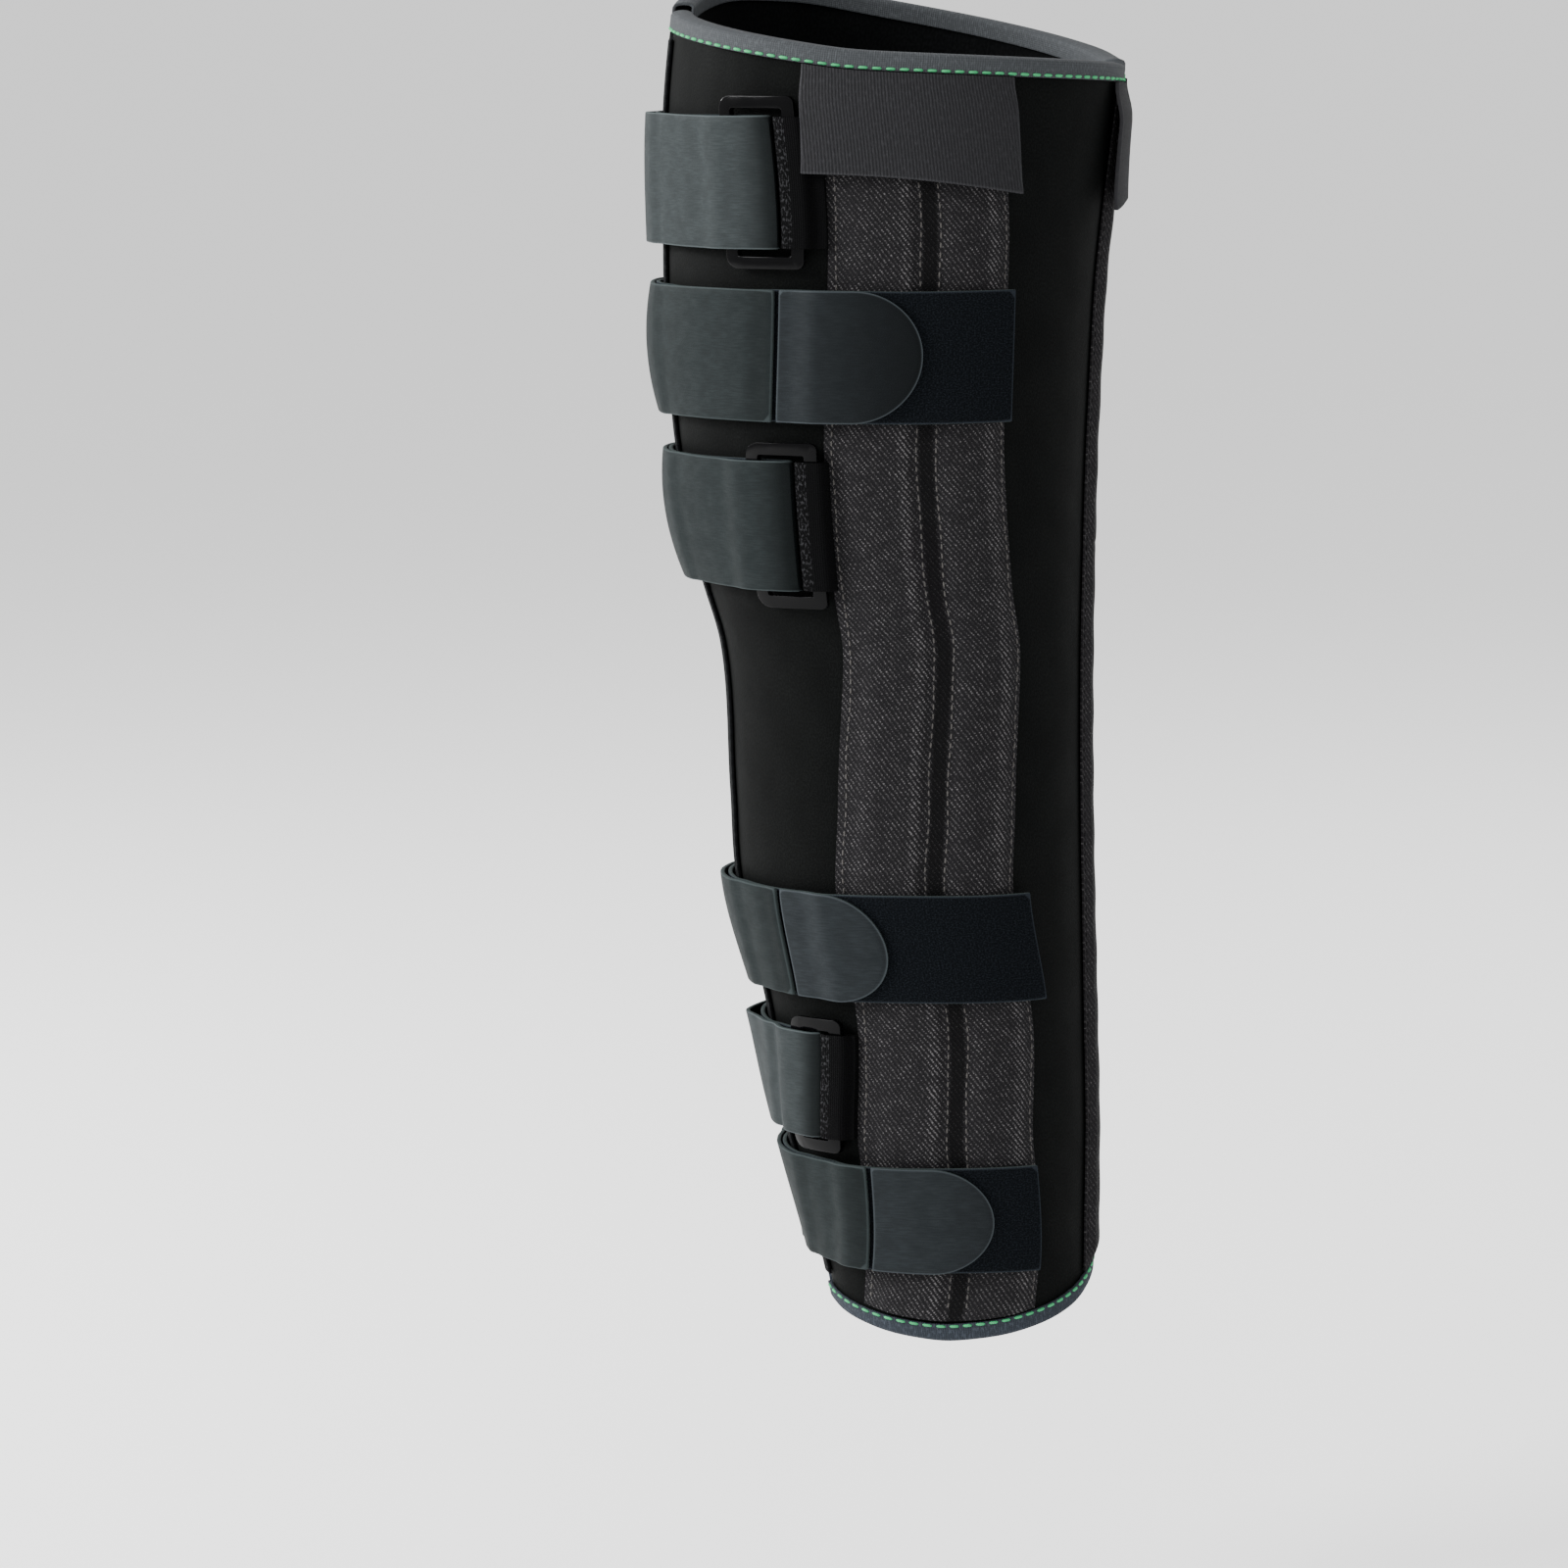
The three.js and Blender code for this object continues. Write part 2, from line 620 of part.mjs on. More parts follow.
// The webbing that holds a ring: it comes from the panel's front edge, goes round the bar and returns.
function addAnchor(name, strap, place) {
  const half = anchorThickness / 2;
  const inner = anchorSeat + half;
  const outer = ringOut + ringThickness / 2 + layerGap + half;
  const radius = (outer - inner) / 2;
  const barEdge = place.ringEnd - ringBar;
  const end = panelFront(place.height) - anchorEdgeGap;
  const bend = spread(-Math.PI / 2, Math.PI / 2, Math.PI / foldSteps).map((angle) => ({
    round: barEdge - layerGap - radius * Math.cos(angle),
    out: inner + radius + radius * Math.sin(angle),
  }));
  const landing = place.ringEnd + landingReach;
  const path = [
    { round: end, out: inner },
    { round: place.ringEnd, out: inner },
    ...bend,
    { round: place.ringEnd + anchorTurn, out: outer },
    { round: landing, out: inner + anchorThickness + layerGap },
    { round: end, out: inner + anchorThickness + layerGap },
  ];
  addPiece(name, bandAlong(path, anchorThickness, strap, place, 1), finishes.anchor);
}

addWrap();
addRimTape("top_edge_tape", rims.top, 1);
addRimTape("bottom_edge_tape", rims.bottom, -1);
addFrontTape("front_edge_tape_lateral", 1);
addFrontTape("front_edge_tape_medial", -1);

addPanel("stay_panel_lateral", panelMiddle, sidePanelWidth, sidePanelProfile, 1);
addPanel("stay_panel_medial", panelMiddle, sidePanelWidth, sidePanelProfile, -1);
addPanel("stay_panel_back", halfGirth, backPanelWidth, backPanelProfile, 1);

const flapFront = -sidePanelWidth / 2 - flapFrontOverhang;
const flapBack = sidePanelWidth / 2 + flapBackOverhang;
const backFlapHalf = backPanelWidth / 2 + backFlapOverhang;
addFlap("top_flap_lateral", panelMiddle, flapFront, flapBack, sideFlapHeight, flapSlant, 1);
addFlap("top_flap_medial", panelMiddle, flapFront, flapBack, sideFlapHeight, flapSlant, -1);
addFlap("top_flap_back", halfGirth, -backFlapHalf, backFlapHalf, backFlapHeight, 0, 1);

straps.forEach((strap, index) => {
  const place = layOut(strap);
  const number = index + 1;
  addStrap(`strap_${number}`, strap, place);
  addTab(`hook_tab_${number}`, strap, place);
  addRing(`strap_ring_${number}`, strap, place);
  addAnchor(`ring_webbing_${number}`, strap, place);
});

export default immobilizer;
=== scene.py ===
"""Knee immobilizer: padded wrap, edge tape, stay panels, flaps, straps, tabs, rings and ring webbing.

Each cloth piece is modelled flat, as its maker cuts it, and is then laid on the leg-shaped wrap.
A flat pattern is in metres: X runs round the leg from the front, Y up the leg and Z out from the wrap.
"""

import logging
import math
from contextlib import contextmanager
from dataclasses import dataclass, field
from enum import Enum
from typing import Any, Callable, Iterator

import bpy
import numpy as np
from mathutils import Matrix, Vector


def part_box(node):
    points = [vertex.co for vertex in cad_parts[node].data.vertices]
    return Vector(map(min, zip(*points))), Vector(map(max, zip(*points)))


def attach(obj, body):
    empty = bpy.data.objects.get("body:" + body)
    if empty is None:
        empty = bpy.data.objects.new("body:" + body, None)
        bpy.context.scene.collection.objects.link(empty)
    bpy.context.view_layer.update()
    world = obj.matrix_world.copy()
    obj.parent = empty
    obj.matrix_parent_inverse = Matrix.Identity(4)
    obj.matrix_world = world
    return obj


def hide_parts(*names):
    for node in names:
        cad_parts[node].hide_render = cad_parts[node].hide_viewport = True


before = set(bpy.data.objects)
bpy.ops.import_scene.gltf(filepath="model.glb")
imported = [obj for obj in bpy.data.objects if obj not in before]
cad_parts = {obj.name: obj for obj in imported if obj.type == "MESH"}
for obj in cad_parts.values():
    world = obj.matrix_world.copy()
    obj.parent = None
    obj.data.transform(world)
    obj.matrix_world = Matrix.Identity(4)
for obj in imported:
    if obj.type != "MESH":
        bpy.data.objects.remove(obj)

LOG = logging.getLogger("knee_immobilizer")
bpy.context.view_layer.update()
BODY = "root"
PATTERN = "pattern"
EDGE = "edge"
SHADE = "shade"
MM = 0.001

Array = np.ndarray
Colour = tuple[float, float, float]


class Side(Enum):
    """The side of the left leg that a piece is on, as the sign of X."""

    LATERAL = 1
    MEDIAL = -1


class Rim(Enum):
    """An end of the wrap, as the direction that leads off it."""

    TOP = 1
    BOTTOM = -1


# The heights where the girth is measured for each rim
RIM_LEVEL = {Rim.TOP: 0.238, Rim.BOTTOM: -0.24}


# Shader graphs

class Socket:
    """A shader socket that takes part in Python expressions on numbers."""

    def __init__(self, graph: "Graph", socket: bpy.types.NodeSocket) -> None:
        """Wraps a node's output.

        Args:
            graph: the graph that the socket is in.
            socket: the node's output socket.
        """
        self.graph = graph
        self.socket = socket

    def math(self, operation: str, *others: Any) -> "Socket":
        """Adds a Math node.

        Args:
            operation: the node's operation.
            others: its further values.

        Returns:
            The node's result.
        """
        values = dict(enumerate((self, *others)))
        return self.graph.node("ShaderNodeMath", {"operation": operation}, values)

    def __add__(self, other: Any) -> "Socket":
        """Adds a number or a socket."""
        return self.math("ADD", other)

    __radd__ = __add__

    def __mul__(self, other: Any) -> "Socket":
        """Multiplies by a number or a socket."""
        return self.math("MULTIPLY", other)

    __rmul__ = __mul__

    def __sub__(self, other: Any) -> "Socket":
        """Takes a number or a socket away."""
        return self.math("SUBTRACT", other)

    def __rsub__(self, other: Any) -> "Socket":
        """Takes the socket away from a number."""
        return (self * -1.0) + other

    def __truediv__(self, other: Any) -> "Socket":
        """Divides by a number or a socket."""
        return self.math("DIVIDE", other)

    def wave(self, pitch: float) -> "Socket":
        """A sine wave between 0 and 1 with this pitch."""
        return (self * (2 * math.pi / pitch)).math("SINE") * 0.5 + 0.5

    def step(self, low: float, high: float) -> "Socket":
        """Rises smoothly from 0 at low to 1 at high, or falls where high is the smaller."""
        values = {"Value": self, "From Min": low, "From Max": high}
        return self.graph.node("ShaderNodeMapRange", {"interpolation_type": "SMOOTHSTEP"}, values)


class Graph:
    """A material's shader graph."""

    def __init__(self, name: str) -> None:
        """Starts an empty material.

        Args:
            name: the material's name.
        """
        self.material = bpy.data.materials.new(name)
        self.material.use_nodes = True
        self.tree = self.material.node_tree
        self.tree.nodes.clear()

    def node(self, kind: str, settings: dict[str, Any], values: dict[Any, Any], output: Any = 0) -> Socket:
        """Adds a node.

        Args:
            kind: the node's type.
            settings: its own settings, which are set first.
            values: numbers, colours or sockets for its inputs, by name or index.
            output: the name or index of the output that is wanted.

        Returns:
            The wanted output.
        """
        made = self.tree.nodes.new(kind)
        for key, value in settings.items():
            setattr(made, key, value)
        for key, value in values.items():
            if isinstance(value, Socket):
                self.tree.links.new(value.socket, made.inputs[key])
            else:
                made.inputs[key].default_value = value
        return Socket(self, made.outputs[output])

    def flat_place(self) -> tuple[Socket, Socket]:
        """The place on the flat pattern, in metres: along or round, and up or across."""
        place = self.node("ShaderNodeUVMap", {"uv_map": PATTERN}, {})
        return tuple(self.node("ShaderNodeSeparateXYZ", {}, {0: place}, axis) for axis in ("X", "Y"))

    def from_edge(self) -> Socket:
        """The distance from the cloth's nearest edge, in metres, where a piece keeps it."""
        return self.node("ShaderNodeAttribute", {"attribute_name": EDGE}, {}, "Fac")

    def shade(self) -> Socket:
        """How far the cloth is darkened by painted shade, from 0 to 1, where a piece keeps it."""
        return self.node("ShaderNodeAttribute", {"attribute_name": SHADE}, {}, "Fac")

    def noise(self, along: float, across: float, detail: float = 2.0) -> Socket:
        """Noise on the flat pattern.

        Args:
            along: the noise's size along X, in metres.
            across: its size along Y.
            detail: the number of finer layers.

        Returns:
            A value about 0.5.
        """
        place = self.node("ShaderNodeUVMap", {"uv_map": PATTERN}, {})
        scaled = self.node("ShaderNodeMapping", {}, {0: place, "Scale": (1 / along, 1 / across, 1.0)})
        return self.node("ShaderNodeTexNoise", {"noise_dimensions": "2D"},
                         {"Vector": scaled, "Scale": 1.0, "Detail": detail})

    def grain(self, size: float, detail: float = 2.0) -> Socket:
        """Noise in space, for a solid material: its size is in metres."""
        place = self.node("ShaderNodeTexCoord", {}, {}, "Object")
        return self.node("ShaderNodeTexNoise", {}, {"Vector": place, "Scale": 1 / size, "Detail": detail})

    def blend(self, share: Any, first: Any, second: Any) -> Socket:
        """Mixes two colours: share is 0 for the first and 1 for the second."""
        colours = [value if isinstance(value, Socket) else (*value, 1.0) for value in (first, second)]
        return self.node("ShaderNodeMix", {"data_type": "RGBA"}, {0: share, 6: colours[0], 7: colours[1]}, 2)

    def relief(self, height: Socket, depth: float) -> Socket:
        """A bump: height is from 0 to 1 and depth is its size in metres."""
        return self.node("ShaderNodeBump", {}, {"Height": height, "Distance": depth, "Strength": 1.0})

    def surface(self, **values: Any) -> bpy.types.Material:
        """Ends the graph in a surface shader.

        Args:
            values: the shader's inputs, with underscores for spaces.

        Returns:
            The finished material.
        """
        inputs = {key.replace("_", " "): value for key, value in values.items()}
        shader = self.node("ShaderNodeBsdfPrincipled", {}, inputs)
        end = self.tree.nodes.new("ShaderNodeOutputMaterial")
        self.tree.links.new(shader.socket, end.inputs["Surface"])
        return self.material


# Finishes

def tinted(colour: Colour, share: float) -> Colour:
    """A colour made lighter or darker by a share."""
    return tuple(channel * share for channel in colour)


@dataclass(frozen=True)
class Finish:
    """A surface that a piece can have."""

    name: str
    colour: Colour
    roughness: float = 0.8
    shine: float = 0.06

    def material(self) -> bpy.types.Material:
        """The finish's material, made once."""
        return bpy.data.materials.get(self.name) or self.make(Graph(self.name))

    def make(self, graph: Graph) -> bpy.types.Material:
        """Draws the finish.

        Args:
            graph: the empty graph to draw it in.

        Returns:
            The finished material.
        """
        return graph.surface(Base_Color=(*self.colour, 1.0), Roughness=self.roughness,
                             Specular_IOR_Level=self.shine)

    def raised(self, graph: Graph, colour: Any, height: Socket, depth: float,
               roughness: Any = None) -> bpy.types.Material:
        """Ends a graph in a surface with relief.

        Args:
            graph: the graph.
            colour: the surface's colour.
            height: the relief, from 0 to 1.
            depth: the relief's depth, in metres.
            roughness: the roughness, where it isn't the finish's own.

        Returns:
            The finished material.
        """
        rough = self.roughness if roughness is None else roughness
        return graph.surface(Base_Color=colour, Roughness=rough, Normal=graph.relief(height, depth),
                             Specular_IOR_Level=self.shine)


@dataclass(frozen=True)
class BrushedKnit(Finish):
    """Black knit bonded to foam, with a short nap."""

    nap: float = 0.6 * MM
    patch: float = 14 * MM

    def make(self, graph: Graph) -> bpy.types.Material:
        """Draws a fine nap with soft, darker patches. See Finish.make."""
        nap = graph.noise(self.nap, self.nap * 1.6, 3.0)
        patch = graph.noise(self.patch, self.patch * 1.5)
        shade = graph.blend(nap.step(0.35, 0.7), tinted(self.colour, 0.72), tinted(self.colour, 1.35))
        colour = graph.blend(patch.step(0.3, 0.75) * 0.35, shade, tinted(self.colour, 0.6))
        return self.raised(graph, colour, nap, 0.10 * MM, patch * 0.12 + (self.roughness - 0.06))


@dataclass(frozen=True)
class FleckedTwill(Finish):
    """Coarse charcoal twill: slanting ribs of yarns that catch the light in flecks."""

    fleck: Colour = (0.11, 0.105, 0.105)
    pitch: float = 1.9 * MM
    ridge_highlight_lines: tuple[float, ...] = ()
    grooves: tuple[float, ...] = ()

    def make(self, graph: Graph) -> bpy.types.Material:
        """Draws ribs crossed by yarns, with painted highlight along the pockets' ridges and painted shade in
        the grooves. See Finish.make.
        """
        across, up = graph.flat_place()
        wander = graph.noise(9 * MM, 9 * MM) * (0.6 * MM)
        rib = (across + up * 0.75 + wander).wave(self.pitch).step(0.25, 0.9)
        yarn = (across * 0.8 - up + wander).wave(self.pitch * 0.62).step(0.15, 0.85)
        speck = graph.noise(0.8 * MM, 0.8 * MM, 1.0).step(0.45, 0.68)
        weave = rib * (0.35 + yarn * 0.65)
        # Painted highlight: flecks brighter along the given lines, where the pockets' ridges catch the light.
        ridge = None
        for line in self.ridge_highlight_lines:
            near = (across - line).math("ABSOLUTE").step(3.2 * MM, 0.8 * MM)
            ridge = near if ridge is None else ridge + near
        patch = graph.noise(7 * MM, 5 * MM).step(0.3, 0.7)
        light = weave * (0.15 + speck * 0.85) * (0.6 + patch * 0.6)
        if ridge is not None:
            light = light * (0.8 + ridge * 1.2)
        colour = graph.blend(light, self.colour, self.fleck)
        # Painted shade: darker along the given lines, in the grooves between the pockets.
        for line in self.grooves:
            near = (across - line).math("ABSOLUTE").step(3.9 * MM, 1.8 * MM)
            colour = graph.blend(near * 0.85, colour, tinted(self.colour, 0.3))
        return self.raised(graph, colour, weave, 0.35 * MM)


@dataclass(frozen=True)
class RibbedCloth(Finish):
    """Dark grey cloth with fine ribs up the leg."""

    pitch: float = 1.15 * MM

    def make(self, graph: Graph) -> bpy.types.Material:
        """Draws upright ribs, cross threads and a paler hem. See Finish.make."""
        across, up = graph.flat_place()
        wander = graph.noise(2 * MM, 30 * MM) * (0.35 * MM)
        rib = (across + wander).wave(self.pitch)
        thread = up.wave(0.55 * MM)
        speck = graph.noise(0.5 * MM, 2.2 * MM, 1.0).step(0.5, 0.75)
        weave = rib * 0.75 + thread * 0.25
        hem = graph.from_edge().step(1.0 * MM, 0.3 * MM)
        colour = graph.blend(weave, tinted(self.colour, 0.62), tinted(self.colour, 1.25))
        colour = graph.blend(speck * 0.35, colour, tinted(self.colour, 2.0))
        colour = graph.blend(hem * 0.35, colour, tinted(self.colour, 2.6))
        return self.raised(graph, colour, weave, 0.22 * MM)


@dataclass(frozen=True)
class StreakedLaminate(Finish):
    """Grey-green matt strap face with fine streaks along the strap, paler edges and painted shade."""

    rim: float = 2.6
    shade_fade: tuple[float, float] | None = None

    def make(self, graph: Graph) -> bpy.types.Material:
        """Draws streaks, soft patches, painted shade and a pale rim. See Finish.make."""
        streak = graph.noise(5 * MM, 0.5 * MM, 3.0)
        patch = graph.noise(7 * MM, 6 * MM, 3.0)
        pile = graph.noise(0.45 * MM, 0.45 * MM, 1.0)
        rim = graph.from_edge().step(0.75 * MM, 0.15 * MM)
        shade = graph.blend(streak.step(0.3, 0.72), tinted(self.colour, 0.86), tinted(self.colour, 1.16))
        shade = graph.blend(patch.step(0.35, 0.7) * 0.4, shade, tinted(self.colour, 0.7))
        # Painted shade: darker where the piece keeps a shade value, at a strap's fold round the ring's bar
        # and before its sewn end.
        shade = graph.blend(graph.shade() * 0.8, shade, tinted(self.colour, 0.3))
        # Painted shade: darker towards the far end of the run, where less light falls; the tab face uses it
        # towards its round end.
        if self.shade_fade:
            along, _ = graph.flat_place()
            shade = graph.blend(along.step(*self.shade_fade), shade, tinted(self.colour, 0.3))
        colour = graph.blend(rim * 0.75, shade, tinted(self.colour, self.rim))
        height = streak * 0.3 + pile * 0.7
        return self.raised(graph, colour, height, 0.08 * MM, patch * 0.15 + (self.roughness - 0.08))


@dataclass(frozen=True)
class LoopPlush(Finish):
    """Black loop pile that the tabs grip."""

    def make(self, graph: Graph) -> bpy.types.Material:
        """Draws dense small loops in faint rows. See Finish.make."""
        across, up = graph.flat_place()
        loops = graph.noise(0.7 * MM, 0.5 * MM, 3.0)
        row = up.wave(1.3 * MM) * 0.3 + across.wave(0.9 * MM) * 0.2
        rim = graph.from_edge().step(0.9 * MM, 0.2 * MM)
        colour = graph.blend(loops.step(0.4, 0.75), tinted(self.colour, 0.6), tinted(self.colour, 1.8))
        colour = graph.blend(rim * 0.5, colour, tinted(self.colour, 6.0))
        return self.raised(graph, colour, loops + row, 0.25 * MM)


@dataclass(frozen=True)
class WovenTape(Finish):
    """Fine woven tape or webbing, with a rib across its length."""

    pitch: float = 0.9 * MM
    fleck: float = 2.2
    depth: float = 0.14 * MM
    fleck_zone: tuple[float, float] | None = None

    def make(self, graph: Graph) -> bpy.types.Material:
        """Draws a tight weave with pale flecks. See Finish.make."""
        along, across = graph.flat_place()
        weave = along.wave(self.pitch) * 0.6 + across.wave(self.pitch * 0.8) * 0.4
        speck = graph.noise(self.pitch * 0.9, self.pitch * 2.0, 1.0).step(0.5, 0.72)
        patch = graph.noise(22 * MM, 12 * MM)
        if self.fleck_zone:
            start, end = self.fleck_zone
            speck = speck * along.step(start - 1 * MM, start) * along.step(end + 1 * MM, end)
        colour = graph.blend(weave, tinted(self.colour, 0.7), tinted(self.colour, 1.25))
        colour = graph.blend(speck * 0.6, colour, tinted(self.colour, self.fleck))
        colour = graph.blend(patch * 0.25, colour, tinted(self.colour, 0.7))
        return self.raised(graph, colour, weave, self.depth)


@dataclass(frozen=True)
class MouldedPlastic(Finish):
    """Black moulded plastic with a satin skin."""

    def make(self, graph: Graph) -> bpy.types.Material:
        """Draws a slightly uneven gloss. See Finish.make."""
        cloud = graph.grain(6 * MM)
        grain = graph.grain(0.5 * MM, 1.0)
        return self.raised(graph, (*self.colour, 1.0), grain, 0.012 * MM, cloud * 0.14 + self.roughness)


@dataclass(frozen=True)
class TwistedThread(Finish):
    """Sewing thread."""

    def make(self, graph: Graph) -> bpy.types.Material:
        """Draws the thread's twist and a little soiling. See Finish.make."""
        along, across = graph.flat_place()
        twist = (along + across * 1.4).wave(0.6 * MM)
        wear = graph.noise(9 * MM, 4 * MM).step(0.3, 0.7)
        colour = graph.blend(twist, tinted(self.colour, 0.7), tinted(self.colour, 1.15))
        colour = graph.blend(wear * 0.3, colour, tinted(self.colour, 0.6))
        return self.raised(graph, colour, twist, 0.06 * MM)


KNIT = BrushedKnit("brushed_knit", (0.0027, 0.0030, 0.0029), 0.68, 0.025)
LINING = BrushedKnit("brushed_lining", (0.0026, 0.0028, 0.0030), 0.9, 0.02, nap=0.9 * MM)
LAMINATE = StreakedLaminate("strap_laminate", (0.0108, 0.0136, 0.0140), 0.62, 0.03)
# A lighter copy of the strap laminate: painted light for the straps that catch more light.
PAINTED_LIGHT_LAMINATE = StreakedLaminate("painted_light_strap_laminate", (0.0190, 0.0228, 0.0236), 0.62, 0.03)
# The tab face's shade fade is painted shade towards its round end.
TAB_FACE = StreakedLaminate("tab_face", (0.0128, 0.0152, 0.0168), 0.6, 0.03, rim=2.6, shade_fade=(0.07, 0.14))
PLUSH = LoopPlush("loop_plush", (0.0038, 0.0046, 0.0058), 0.9, 0.02)
CUT_EDGE = StreakedLaminate("strap_edge", (0.030, 0.038, 0.038), 0.7, 0.03, rim=1.0)
RIM_TAPE = WovenTape("rim_tape", (0.036, 0.039, 0.042), 0.75, fleck=1.6)
HEM_TAPE = WovenTape("hem_tape", (0.020, 0.024, 0.030), 0.75)
FRONT_TAPE = WovenTape("front_tape", (0.0035, 0.0038, 0.0042), 0.8, 0.03)
WEBBING = WovenTape("ring_webbing", (0.0026, 0.0026, 0.0028), 0.8, 0.02, pitch=0.7 * MM, fleck=13.0,
                    depth=0.25 * MM, fleck_zone=(6.0 * MM, 9.5 * MM))
FLAP_CLOTH = RibbedCloth("flap_cloth", (0.0145, 0.0145, 0.0158), 0.8)
PLASTIC = MouldedPlastic("ring_plastic", (0.0010, 0.0010, 0.0012), 0.06, 0.08)
GREEN_THREAD = TwistedThread("green_thread", (0.045, 0.33, 0.13), 0.6)
GREY_THREAD = TwistedThread("grey_thread", (0.07, 0.066, 0.063), 0.7)
DARK_THREAD = TwistedThread("dark_thread", (0.009, 0.009, 0.0095), 0.8)


# Modelling steps

def take_up(piece: bpy.types.Object) -> None:
    """Makes a piece the active one, and the only one selected."""
    bpy.ops.object.select_all(action="DESELECT")
    piece.select_set(True)
    bpy.context.view_layer.objects.active = piece


def name_new(name: str) -> bpy.types.Object:
    """Names the primitive that was just added, and its mesh."""
    piece = bpy.context.object
    piece.name = piece.data.name = name
    return piece


def new_grid(name: str, columns: int, rows: int) -> bpy.types.Object:
    """Adds a flat grid, one metre square about the origin, that faces up.

    Args:
        name: the new piece's name.
        columns: its faces along X.
        rows: its faces along Y.

    Returns:
        The grid.
    """
    bpy.ops.object.select_all(action="DESELECT")
    bpy.ops.mesh.primitive_grid_add(x_subdivisions=columns, y_subdivisions=rows, size=1, calc_uvs=False)
    return name_new(name)


def points_of(piece: bpy.types.Object) -> Array:
    """The places of a mesh's vertices, a row for each."""
    points = np.zeros(len(piece.data.vertices) * 3)
    piece.data.vertices.foreach_get("co", points)
    return points.reshape(-1, 3)


def move_points(piece: bpy.types.Object, points: Array) -> None:
    """Puts a mesh's vertices at these places."""
    piece.data.vertices.foreach_set("co", np.ascontiguousarray(points, float).ravel())
    piece.data.update()


def keep_pattern(piece: bpy.types.Object) -> None:
    """Keeps the flat place of every corner as the piece's own map, in metres."""
    corners = np.zeros(len(piece.data.loops), int)
    piece.data.loops.foreach_get("vertex_index", corners)
    layer = piece.data.uv_layers.get(PATTERN) or piece.data.uv_layers.new(name=PATTERN)
    layer.data.foreach_set("uv", points_of(piece)[corners, :2].ravel())


def cut(piece: bpy.types.Object, across: Array, up: Array, out: Any = 0.0) -> None:
    """Puts a piece's vertices at their flat places, and keeps these as its map."""
    move_points(piece, np.stack(np.broadcast_arrays(across, up, out), 1))
    keep_pattern(piece)


def keep_edge(piece: bpy.types.Object, distances: Array) -> None:
    """Keeps every vertex's distance from the cloth's edge, in metres."""
    keep_values(piece, EDGE, distances)


def keep_values(piece: bpy.types.Object, name: str, values: Array) -> None:
    """Keeps a number for every vertex under a name."""
    layer = piece.data.attributes.new(name, "FLOAT", "POINT")
    layer.data.foreach_set("value", np.ascontiguousarray(values, float))


def finish_with(piece: bpy.types.Object, kind: str, **settings: Any) -> None:
    """Adds a modifier and applies it.

    Args:
        piece: the piece.
        kind: the modifier's type.
        settings: its settings.
    """
    take_up(piece)
    bpy.ops.object.modifier_add(type=kind)
    modifier = piece.modifiers[-1]
    for key, value in settings.items():
        setattr(modifier, key, value)
    bpy.ops.object.modifier_apply(modifier=modifier.name)


def round_edges(piece: bpy.types.Object, width: float, angle: float = 50, segments: int = 2) -> None:
    """Rounds every edge that is sharper than an angle, in degrees."""
    finish_with(piece, "BEVEL", width=width, segments=segments, limit_method="ANGLE",
                angle_limit=math.radians(angle))


@contextmanager
def all_selected(piece: bpy.types.Object) -> Iterator[None]:
    """Opens a piece for changes to its faces, with all of them selected."""
    take_up(piece)
    bpy.ops.object.mode_set(mode="EDIT")
    bpy.ops.mesh.select_all(action="SELECT")
    yield
    bpy.ops.object.mode_set(mode="OBJECT")


def turn_out(piece: bpy.types.Object) -> None:
    """Points a closed mesh's faces outwards."""
    with all_selected(piece):
        bpy.ops.mesh.normals_make_consistent(inside=False)


def turn_over(piece: bpy.types.Object) -> None:
    """Turns all of a sheet's faces over."""
    with all_selected(piece):
        bpy.ops.mesh.flip_normals()


def smooth(piece: bpy.types.Object, angle: float = 40) -> None:
    """Shades a piece smoothly across edges flatter than an angle, in degrees."""
    take_up(piece)
    bpy.ops.object.shade_smooth_by_angle(angle=math.radians(angle))


def dress(piece: bpy.types.Object, *finishes: Finish) -> None:
    """Gives a piece its material slots."""
    for finish in finishes:
        piece.data.materials.append(finish.material())


def seat(piece: bpy.types.Object, slot: str, *nodes: str) -> bpy.types.Object:
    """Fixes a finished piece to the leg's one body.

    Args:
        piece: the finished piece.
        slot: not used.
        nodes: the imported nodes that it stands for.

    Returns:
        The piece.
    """
    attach(piece, BODY)
    if nodes:
        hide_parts(*nodes)
    return piece


def ease(value: Array, low: Any, high: Any) -> Array:
    """Rises smoothly from 0 at low to 1 at high."""
    share = np.clip((value - low) / (high - low), 0, 1)
    return share * share * (3 - 2 * share)


def run_along(first: Array, second: Array) -> Array:
    """The length that a line has run at each of its points."""
    return np.concatenate([[0], np.cumsum(np.hypot(np.diff(first), np.diff(second)))])


def corners_of(node: str) -> Array:
    """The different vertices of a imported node, a row for each."""
    return np.unique(np.round(points_of(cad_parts[node]), 6), axis=0)


# The leg-shaped wall that everything is laid on

def solve(residual: Callable[[Array], Array], start: Array) -> Array:
    """Finds the values that bring a residual nearest to zero.

    Args:
        residual: gives the errors for some values.
        start: values to start from.

    Returns:
        The best values.
    """
    values = np.array(start, float)
    nudge = 1e-6
    for _ in range(12):
        errors = residual(values)
        nudged = [residual(values + nudge * row) for row in np.eye(len(values))]
        slopes = np.stack([(errors_there - errors) / nudge for errors_there in nudged], 1)
        values = values - np.linalg.lstsq(slopes, errors, rcond=None)[0]
    return values


